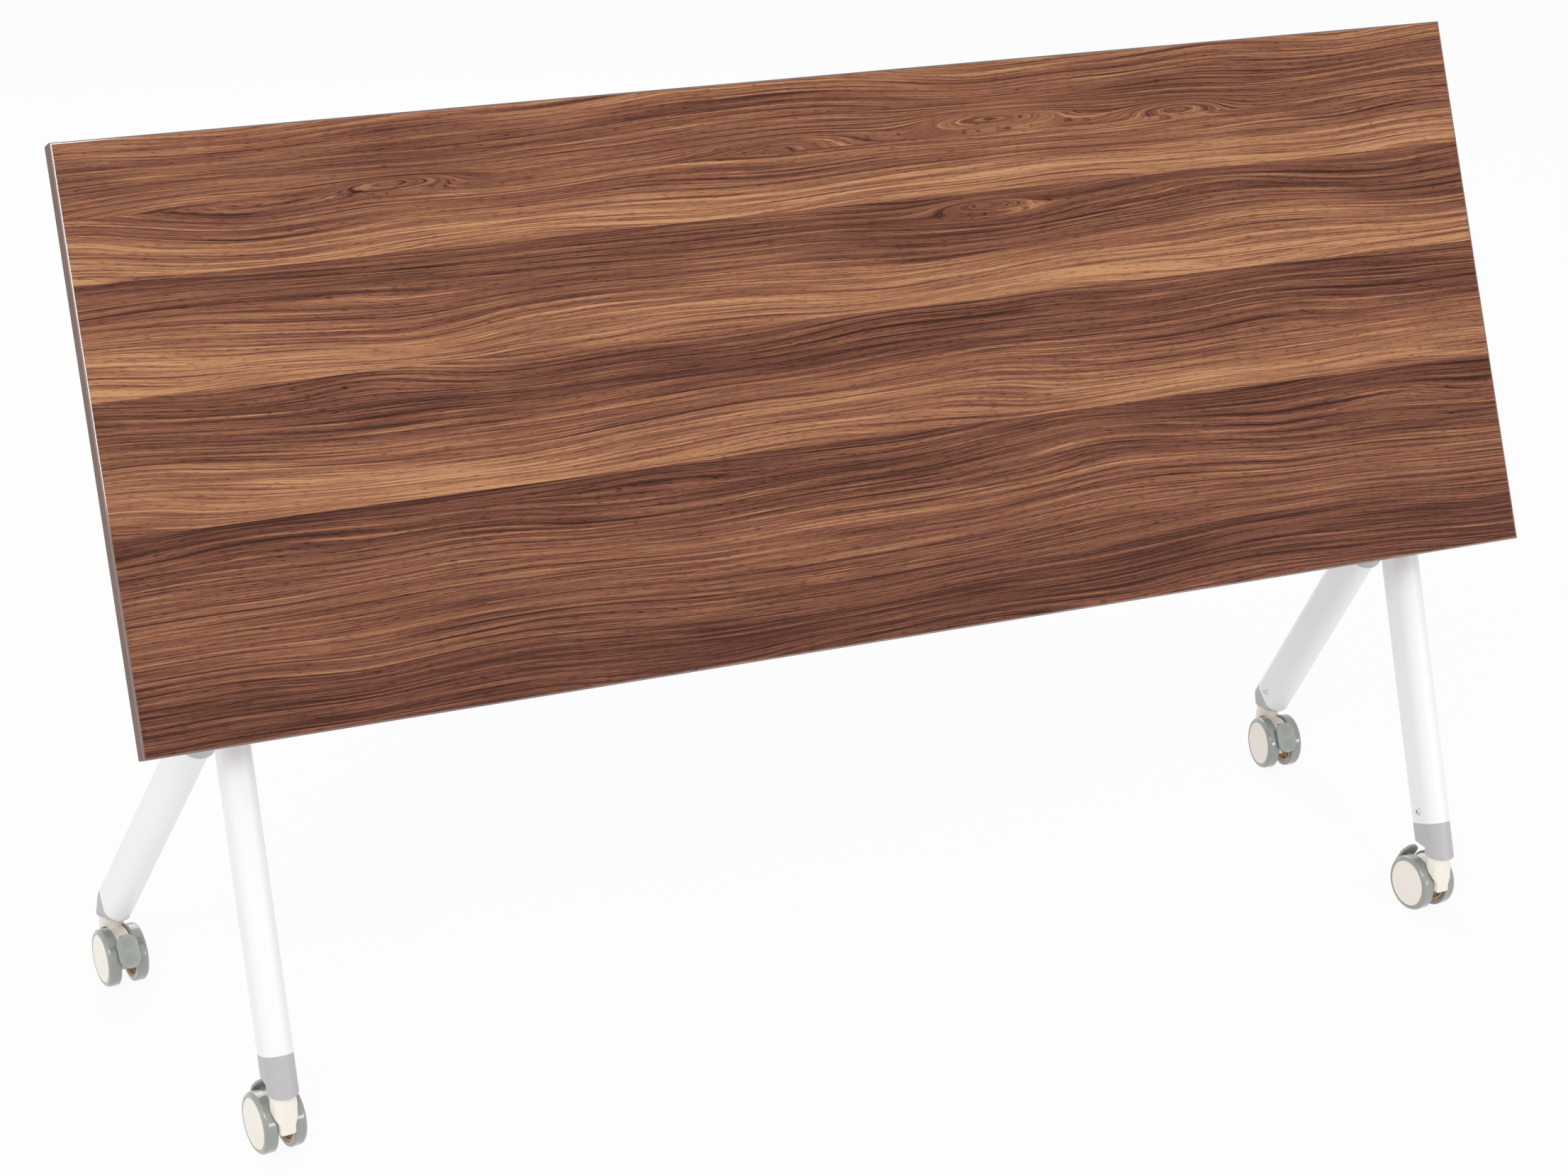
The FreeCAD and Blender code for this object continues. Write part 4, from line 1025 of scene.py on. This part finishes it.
CAP_SCREW = Fastener(
    "foot_cap_screws", "frame", head_radius=4.4, head_height=2.6, shank_radius=2.2, length=8.0,
    roundness=2.6, recess=Recess.CROSS, recess_radius=2.3, recess_depth=1.7,
)
FASTENERS = (
    CAP_SCREW,
    replace(CAP_SCREW, node="bracket_screws", body="top", length=18.0),
    Fastener(
        "beam_bolts", "frame", head_radius=6.5, head_height=8.0, shank_radius=4.0, length=18.0,
        roundness=9.0, recess=Recess.HEXAGON, recess_radius=3.0, recess_depth=4.2,
    ),
)


@dataclass(frozen=True)
class WheelDress:
    """Cover and ribbed core of a wheel, in millimetres from the caster's middle plane along the axle."""

    hub_radius: float = 27.0
    hub_face: float = 22.4
    hub_floor: float = 20.2
    hub_back: float = 9.6
    rim_inner: float = 24.6
    boss_radius: float = 7.0
    bore_radius: float = 3.15
    bore_end: float = 21.0
    edge: float = 0.3
    crown: float = 0.45
    bead_radius: float = 26.3
    bead_half: float = 0.6
    bead_height: float = 0.5
    bead_end: float = 23.6
    bead_rings: int = 26
    face_start: float = 23.0
    face_end: float = 1.0
    face_rings: int = 14
    face_inset: float = 0.08
    cover_gap: float = 0.05
    cover_pocket: float = 4.6
    cover_pocket_mouth: float = 5.3
    cover_pocket_rise: float = 0.7
    core_inset: float = 0.1
    core_dome: float = 4.4
    core_dome_foot: float = 5.0
    core_dome_rise: float = 0.4
    rib_top: float = 11.6
    rib_count: int = 12
    rib_half: float = 0.8
    rib_end: float = 0.15
    rib_stations: Span = (18.5, 12.5)
    foot_limit: float = 0.40
    top_limit: float = 0.32
    draft: float = 0.18
    gap_columns: int = 3
    turns: int = 120

    def cover(self) -> Shell:
        """Crowned disc with a bead along its edge.

        Its face is at hub_face + crown (1 - (r / R)^2) plus a bell curve for the bead, and its back is flat
        with a pocket over the bore.

        Returns:
            The disc.
        """
        radius = np.concatenate((
            np.linspace(self.hub_radius - self.face_inset, self.bead_end, self.bead_rings),
            np.linspace(self.face_start, self.face_end, self.face_rings),
        ))
        bead = self.bead_height * np.exp(-(((radius - self.bead_radius) / self.bead_half) ** 2))
        face = self.hub_face + self.crown * (1.0 - (radius / self.hub_radius) ** 2) + bead
        floor = self.hub_floor + self.cover_gap
        back = [
            (self.cover_pocket, self.bore_end + self.cover_pocket_rise),
            (self.cover_pocket_mouth, floor),
            (self.hub_radius - self.edge, floor),
            (self.hub_radius, floor + self.edge),
            (self.hub_radius, self.hub_face - self.edge),
        ]
        return Shell.capped(revolved(back + list(zip(radius, face)), self.turns))

    def core(self) -> Shell:
        """Ribbed inside of the wheel.

        A grid of rings, from the back of the floor round the rim, over the floor and the boss and into the
        bore. Columns in fours hold a rib's two feet and two tops at the angle asin(offset / radius) from its
        middle, and more columns divide the gap to the next rib. A ring has a radius, a height between the
        ribs and a height on their tops.

        Returns:
            The core.
        """
        low, high, back, bevel = self.hub_floor, self.rib_top, self.hub_back, self.hub_back + self.edge
        outer = self.hub_radius - self.core_inset
        dome = self.bore_end + self.core_dome_rise
        rings = np.array([
            (self.core_dome, dome, dome),
            (self.core_dome_foot, low, low),
            (outer, low, low),
            (outer, bevel, bevel),
            (outer - self.edge, back, back),
            (self.rim_inner + self.edge, back, back),
            (self.rim_inner, bevel, bevel),
            (self.rim_inner, high, high),
            (self.rim_inner - self.rib_end, low, high),
            *((station, low, high) for station in self.rib_stations),
            (self.boss_radius + self.rib_end, low, high),
            (self.boss_radius, high, high),
            (self.boss_radius, bevel, bevel),
            (self.boss_radius - self.edge, back, back),
            (self.bore_radius + self.edge, back, back),
            (self.bore_radius, bevel, bevel),
            (self.bore_radius, self.bore_end, self.bore_end),
        ])
        foot, top = self.rib_half + self.draft, self.rib_half
        offset = np.array((-foot, -top, top, foot))
        step = 2.0 * np.pi / self.rib_count
        limit = step * np.array((self.foot_limit, self.top_limit, self.top_limit, self.foot_limit))
        swing = np.clip(np.arcsin(offset / rings[:, None, :1]), -limit, limit)
        gap = np.linspace(0.0, 1.0, self.gap_columns + 2)[1:-1]
        between = swing[..., 3:] * (1.0 - gap) + (swing[..., :1] + step) * gap
        sector = np.concatenate((swing, between), -1)
        angle = (sector + step * np.arange(self.rib_count)[:, None]).reshape(len(rings), -1)
        raised = np.tile((False, True, True, False) + (False,) * self.gap_columns, self.rib_count)
        radius, between_ribs, on_ribs = rings.T[..., None]
        height = np.where(raised, on_ribs, between_ribs)
        return Shell.capped(np.stack((radius * np.cos(angle), radius * np.sin(angle), height), -1))


@dataclass(frozen=True)
class HoodDress:
    """Smooth skin over a caster's hood, its collar and its swivel washer, in millimetres from the floor."""

    neck_radius: float = 13.45
    neck_low: float = 53.5
    column_low: float = 31.9
    column_front: float = 13.2
    column_back: float = 6.1
    column_power: float = 5.0
    web_half: float = 8.6
    flare_span: float = 14.0
    swell_top: float = 61.6
    swell_span: float = 9.9
    swell_power: float = 0.9
    swell_reach: float = 0.3
    edge_rings: tuple[float, ...] = (0.0, 0.1, 0.35, 0.8)
    edge_ease: float = 0.8
    edge_start: float = 0.3
    edge_span: float = 1.1
    side_low: float = 33.5
    side_rings: int = 84
    side_turns: int = 360
    wheel_gap_radius: float = 33.6
    limit_margin: float = 0.4
    limit_span: float = 0.5
    limit_flare: float = 4.0
    limit_power: int = 14
    collar_lap: float = 0.4
    collar_radius: float = 13.85
    collar_low: float = 71.2
    collar_high: float = 73.9
    washer_inner: float = 5.6
    washer_outer: float = 13.9
    washer_low: float = 74.08
    washer_high: float = 74.92
    band_power: float = 5.0
    band_sides: int = 24
    band_turns: int = 120

    def column(self, trail: float, wheel_radius: float) -> Shell:
        """Smooth skin from the bottom of the round neck to the square foot of the hood's column.

        A section at height z is a superellipse whose half width, reach and power pass from the neck's to the
        column's along a smooth step, with a fuller front over the web's corners. Near the wheels its half
        width h is held to a limit L by h L / (h^p + L^p)^(1 / p), where L falls to the web's half width
        towards the axle.

        Args:
            trail: Distance of the axle from the stem in millimetres.
            wheel_radius: Height of the axle.

        Returns:
            The skin, with y along the trail and z up from the floor.
        """
        sides = np.linspace(self.side_low, self.swell_top + self.swell_span, self.side_rings)
        height = np.concatenate((self.column_low + np.array(self.edge_rings), sides))[:, None]
        step = smooth_step((self.neck_low - height) / self.flare_span)
        swell = 1.0 - smooth_step((height - self.swell_top) / self.swell_span)
        risen = (height - self.column_low + self.edge_start) / self.edge_span
        eased = self.edge_ease * (1.0 - smooth_step(risen))
        angle = even_angles(self.side_turns)
        across, along = np.cos(angle), np.sin(angle)
        ahead = along < 0.0
        power = 2.0 / (2.0 + self.column_power * step + np.where(ahead, self.swell_power * swell, 0.0))
        width, front, back = (
            self.neck_radius + (reach - self.neck_radius) * step - eased
            for reach in (self.web_half, self.column_front, self.column_back)
        )
        depth = np.where(ahead, front + self.swell_reach * swell, back)
        y = depth * np.sign(along) * np.abs(along) ** power
        away = np.hypot(y - trail, height - wheel_radius) - self.wheel_gap_radius
        freed = smooth_step(away / (self.limit_span + self.limit_flare * step))
        limit = self.web_half - eased + (self.neck_radius + self.limit_margin - self.web_half) * freed
        half = width * np.abs(across) ** power
        spread = (half ** self.limit_power + limit ** self.limit_power) ** (1.0 / self.limit_power)
        x = np.sign(across) * half * limit / spread
        return Shell.capped(np.stack((x, y, np.broadcast_to(height, x.shape)), -1))

    def band(self, inner: float, outer: float, low: float, high: float) -> Shell:
        """Ring whose profile is a superellipse.

        Args:
            inner: Inner radius.
            outer: Outer radius.
            low: Height of its bottom.
            high: Height of its top.

        Returns:
            The ring.
        """
        angle = even_angles(self.band_sides)
        share = 2.0 / self.band_power
        wide, tall = (np.sign(wave) * np.abs(wave) ** share for wave in (np.cos(angle), np.sin(angle)))
        radius = (outer + inner) / 2.0 + (outer - inner) / 2.0 * wide
        height = (high + low) / 2.0 + (high - low) / 2.0 * tall
        return Shell.looped(revolved(list(zip(radius, height)), self.band_turns))

    def skin(self, trail: float, wheel_radius: float) -> Shell:
        """Skin of the column with the collar above it.

        Args:
            trail: Distance of the axle from the stem in millimetres.
            wheel_radius: Height of the axle.

        Returns:
            Both surfaces as one.
        """
        lapped = self.neck_radius - self.collar_lap
        collar = self.band(lapped, self.collar_radius, self.collar_low, self.collar_high)
        return Shell.joined((self.column(trail, wheel_radius), collar))

    def washer(self) -> Shell:
        """Washer between the hood and the foot cap."""
        return self.band(self.washer_inner, self.washer_outer, self.washer_low, self.washer_high)


@dataclass(frozen=True)
class CasterDress:
    """Hood skins, swivel washers, wheel covers and wheel cores of the casters."""

    corners: tuple[str, ...] = ("front_left", "front_right", "rear_left", "rear_right")
    sides: tuple[str, ...] = ("left", "right")
    hood: HoodDress = HoodDress()
    wheel: WheelDress = WheelDress()

    def dress_hood(self, corner: str, skin: Wear, washer: Wear) -> None:
        """Make the hood skin and the washer of a caster.

        Args:
            corner: Corner of the desk.
            skin: Finish of the hood skin.
            washer: Material of the washer, cream nylon painted tan and bright as painted warm light in its shade.
        """
        body = f"{corner}_caster"
        stem = np.array(joint(f"{corner}_swivel")["pos_m"]) * LEVEL
        spin = joint(f"{corner}_{self.sides[0]}_spin")
        out, axle = np.array(spin["pos_m"]) - stem, np.array(spin["axis"], float)
        trail = np.hypot(*out[:2])
        place = np.eye(4)
        place[:3] = np.stack((axle, out * LEVEL / trail, UPWARD, stem), -1)
        self.hood.washer().placed(place).piece(f"{corner}_swivel_washer", washer, body)
        self.hood.skin(trail / MM, out[2] / MM).placed(place).piece(f"{corner}_hood_skin", skin, body)

    def dress_wheel(self, wheel: str, cover: Wear, core: Wear) -> None:
        """Make the cover and the core of a wheel, which stand for its hub.

        Args:
            wheel: Corner and side of the wheel.
            cover: Finish of the cover.
            core: Material of the core, cream nylon painted tan and bright as painted warm light in its shade.
        """
        node, body = f"{wheel}_hub", f"{wheel}_wheel"
        spin = joint(f"{wheel}_spin")
        middle, axis = np.array(spin["pos_m"]), np.array(spin["axis"], float)
        out = np.mean(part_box(node), axis=0) - middle
        place = placement(middle, axis * np.sign(out @ axis))
        self.wheel.cover().placed(place).piece(f"{wheel}_cover", cover, body, [node])
        self.wheel.core().placed(place).piece(f"{wheel}_core", core, body, [node])

    def build(self, outside: Wear, inside: Wear) -> None:
        """Dress every caster.

        Args:
            outside: Finish of the hood skins and the covers.
            inside: Material of the washers and the cores, cream nylon painted tan and bright as painted warm light
                in their shade.
        """
        for corner in self.corners:
            self.dress_hood(corner, outside, inside)
            for side in self.sides:
                self.dress_wheel(f"{corner}_{side}", outside, inside)


@dataclass(frozen=True)
class ReturnSprings:
    """Torsion springs on the release rod that push the levers back, in millimetres."""

    starts: tuple[tuple[float, int], ...] = ((-612.0, -1), (612.0, 1))
    coil_radius: float = 6.9
    wire_radius: float = 0.85
    coils: float = 7.25
    pitch: float = 2.0
    lead: float = 22.2
    tail: float = 5.0
    coil_steps: int = 420
    end_steps: int = 24
    sides: int = 12

    def wire(self, side: int) -> np.ndarray:
        """Middle line of a spring along its own x.

        A helix, (p t, r cos 2 pi t, r sin 2 pi t), runs on at each end along its tangent.

        Args:
            side: Way that x runs, 1 or -1.

        Returns:
            Points along the wire.
        """
        turn = np.linspace(0.0, self.coils, self.coil_steps)
        angle = 2.0 * np.pi * turn
        radius = self.coil_radius
        helix = np.stack((self.pitch * turn, radius * np.cos(angle), radius * np.sin(angle)), -1)
        run = np.linspace(0.0, 1.0, self.end_steps)[1:, None]
        first, last = helix[0] - helix[1], helix[-1] - helix[-2]
        start = helix[0] + self.tail * run[::-1] * first / np.linalg.norm(first)
        end = helix[-1] + self.lead * run * last / np.linalg.norm(last)
        return np.concatenate((start, helix, end)) * (side, 1.0, 1.0)

    def build(self, wear: Wear) -> None:
        """Make both springs one piece on the rod.

        Args:
            wear: Finish of the wire.
        """
        rod = np.array(joint("release_turn")["pos_m"])
        shells = []
        for start, side in self.starts:
            rings = swept(self.wire(side), self.wire_radius, RIGHTWARD, self.sides)
            place = np.eye(4)
            place[:3, 3] = rod + MM * start * RIGHTWARD
            shells.append(Shell.capped(rings).placed(place))
        Shell.joined(shells).piece("return_springs", wear, "top")


@dataclass(frozen=True)
class BeamWelds:
    """Beads that join the cross beam to its flanges, in millimetres."""

    flange: float = 4.0
    beam_radius: float = 20.0
    bead: float = 2.6
    ripple: float = 0.35
    ripples: int = 46
    lean: float = 0.6
    sway: float = 0.2
    sways: int = 3
    turns: int = 368
    sides: int = 12

    def build(self, wear: Wear) -> None:
        """Make the beads one piece.

        A circle whose radius swells and falls with a cosine, leans into the next ripple and sways slowly,
        runs round the beam.

        Args:
            wear: Finish of the beam.
        """
        low, high = (np.array(corner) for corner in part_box("cross_beam"))
        angle = even_angles(self.turns)
        wave = np.cos(self.ripples * angle + self.lean * np.sin(self.ripples * angle))
        size = (self.bead + self.ripple * wave + self.sway * np.sin(self.sways * angle))[:, None]
        turn = even_angles(self.sides)
        out = self.beam_radius + size * np.cos(turn)
        along = size * np.sin(turn)
        grid = np.stack((along, out * np.cos(angle)[:, None], out * np.sin(angle)[:, None]), -1)
        places = np.tile(np.eye(4), (2, 1, 1))
        places[:, :3, 3] = (low + high) / 2.0
        places[:, 0, 3] = (low[0] + MM * self.flange, high[0] - MM * self.flange)
        Shell.looped(grid).repeated(places).piece("beam_welds", wear, "frame")


@dataclass(frozen=True)
class Lamp:
    """Soft lamp: its place, its width and height, its power in watts and the point that it faces."""

    name: str
    place: Place
    size: Span
    power: float
    aim: Place = (0.0, 0.0, 0.6)

    def build(self) -> None:
        """Hang the lamp."""
        data = bpy.data.lights.new(self.name, "AREA")
        data.shape = "RECTANGLE"
        data.size, data.size_y = self.size
        data.energy = self.power
        item = bpy.data.objects.new(self.name, data)
        item.location = self.place
        item.rotation_mode = "QUATERNION"
        item.rotation_quaternion = (Vector(self.aim) - Vector(self.place)).to_track_quat("-Z", "Y")
        bpy.context.scene.collection.objects.link(item)


@dataclass(frozen=True)
class Studio:
    """Pale floor, even white surroundings, soft lamps and the camera of the picture."""

    image_width: float = 2212.0
    focal_pixels: float = 4700.1
    sensor_width: float = 36.0
    camera_place: Place = (-1.4707, -3.0818, 1.7449)
    camera_end: float = 100.0
    yaw: float = 0.4335
    pitch: float = 0.3678
    roll: float = -0.0126
    ambient: float = 0.64
    floor_half: float = 30.0
    floor_colour: Colour = (0.86, 0.86, 0.86)
    floor_glow: float = 0.93
    lamps: tuple[Lamp, ...] = (
        Lamp("key_lamp", place=(-2.6, -3.4, 3.6), size=(1.6, 1.6), power=56.0),
        Lamp("front_lamp", place=(2.1, -3.57, 0.85), size=(2.2, 0.75), power=28.0),
        Lamp("rear_lamp", place=(0.6, 3.6, 2.8), size=(2.6, 2.6), power=45.0),
        Lamp("edge_lamp", place=(0.018, -3.40, 2.79), size=(0.3, 0.9), power=9.0, aim=(-0.8, 0.0, 0.85)),
        Lamp("side_lamp", place=(-4.2, -0.5, 1.2), size=(1.5, 1.5), power=17.0),
    )

    def camera(self) -> None:
        """Set up the camera from its yaw, pitch and roll."""
        data = bpy.data.cameras.new("camera")
        data.sensor_width = self.sensor_width
        data.lens = self.sensor_width * self.focal_pixels / self.image_width
        data.clip_end = self.camera_end
        level_share = math.cos(self.pitch)
        ahead = Vector((
            math.sin(self.yaw) * level_share, math.cos(self.yaw) * level_share, -math.sin(self.pitch),
        ))
        level = Vector((math.cos(self.yaw), -math.sin(self.yaw), 0.0))
        below = ahead.cross(level)
        right = level * math.cos(self.roll) + below * math.sin(self.roll)
        down = below * math.cos(self.roll) - level * math.sin(self.roll)
        turn = Matrix((right, -down, -ahead)).transposed()
        item = bpy.data.objects.new("camera", data)
        item.matrix_world = Matrix.Translation(self.camera_place) @ turn.to_4x4()
        bpy.context.scene.collection.objects.link(item)
        bpy.context.scene.camera = item

    def seen_white(self, graph: Graph) -> Socket:
        """Tell the rays that see the surroundings from those that light the object.

        Args:
            graph: Graph of the world or of a material.

        Returns:
            One for camera, glossy and transmission rays, and otherwise zero.
        """
        light = graph.add("ShaderNodeLightPath").outputs
        seen = graph.math("MAXIMUM", light["Is Camera Ray"], light["Is Glossy Ray"])
        return graph.math("MAXIMUM", seen, light["Is Transmission Ray"])

    def world(self) -> None:
        """Even light from all round, white where it is seen."""
        world = bpy.data.worlds.new("surroundings")
        bpy.context.scene.world = world
        world.use_nodes = True
        graph = Graph(world.node_tree)
        strength = graph.math("MULTIPLY_ADD", self.seen_white(graph), 1.0 - self.ambient, self.ambient)
        graph.fill(world.node_tree.nodes["Background"], Color=WHITE, Strength=strength)

    def floor(self) -> None:
        """Wide pale floor that keeps the shadow and is white where it is seen."""
        half = self.floor_half
        corners = [(-half, -half, 0), (half, -half, 0), (half, half, 0), (-half, half, 0)]
        mesh = bpy.data.meshes.new("floor")
        mesh.from_pydata(corners, [], [(0, 1, 2, 3)])
        item = bpy.data.objects.new("floor", mesh)
        bpy.context.scene.collection.objects.link(item)
        material = bpy.data.materials.new("pale_floor")
        material.use_nodes = True
        graph = Graph(material.node_tree)
        matt = graph.fill(graph.add("ShaderNodeBsdfDiffuse"), Color=(*self.floor_colour, 1.0))
        glow = graph.fill(graph.add("ShaderNodeEmission"), Color=WHITE, Strength=1.0)
        share = graph.math("MULTIPLY", self.seen_white(graph), self.floor_glow)
        mixed = graph.add("ShaderNodeMixShader")
        for socket, value in zip(mixed.inputs, (share, matt.outputs[0], glow.outputs[0])):
            graph.feed(socket, value)
        graph.fill(material.node_tree.nodes["Material Output"], Surface=mixed.outputs[0])
        mesh.materials.append(material)

    def build(self) -> None:
        """Set up everything round the object."""
        bpy.context.scene.view_settings.view_transform = "Standard"
        self.camera()
        self.world()
        self.floor()
        for lamp in self.lamps:
            lamp.build()


def dress_nodes(materials: dict[str, bpy.types.Material]) -> None:
    """Give every CAD node the finish of its slot.

    Args:
        materials: Slot name to material.
    """
    for row in frame["record"]["subparts"]:
        item = frame["nodes"][row["node"]]
        for slot in item.material_slots:
            slot.material = materials[row["material_slot"]]
        LOG.info("%s wears %s", row["node"], row["material_slot"])


def main() -> None:
    """Build the finishes, the pieces and the studio."""
    logging.basicConfig(level=logging.INFO, format="%(name)s: %(message)s")
    effects = Effects(WalnutFigure().effect(), MouldedSkin().effect(), DrawnMetal().effect())
    materials = {finish.slot: finish.material(effects) for finish in FINISHES}
    dress_nodes(materials)
    zinc = Wear(materials["zinc_steel"], "zinc_steel")
    cream = Wear(materials["cream_nylon"], "cream_nylon")
    # Cream nylon slot with a tan, brightened colour: painted warm light in the shade of the cores and washers.
    core = Wear(materials["core_painted_warm_light"], "cream_nylon")
    for fastener in FASTENERS:
        fastener.build(zinc)
    CasterDress().build(outside=cream, inside=core)
    ReturnSprings().build(zinc)
    BeamWelds().build(Wear(materials["white_coat"], "white_coat"))
    Studio().build()


if __name__ == "__main__":
    main()
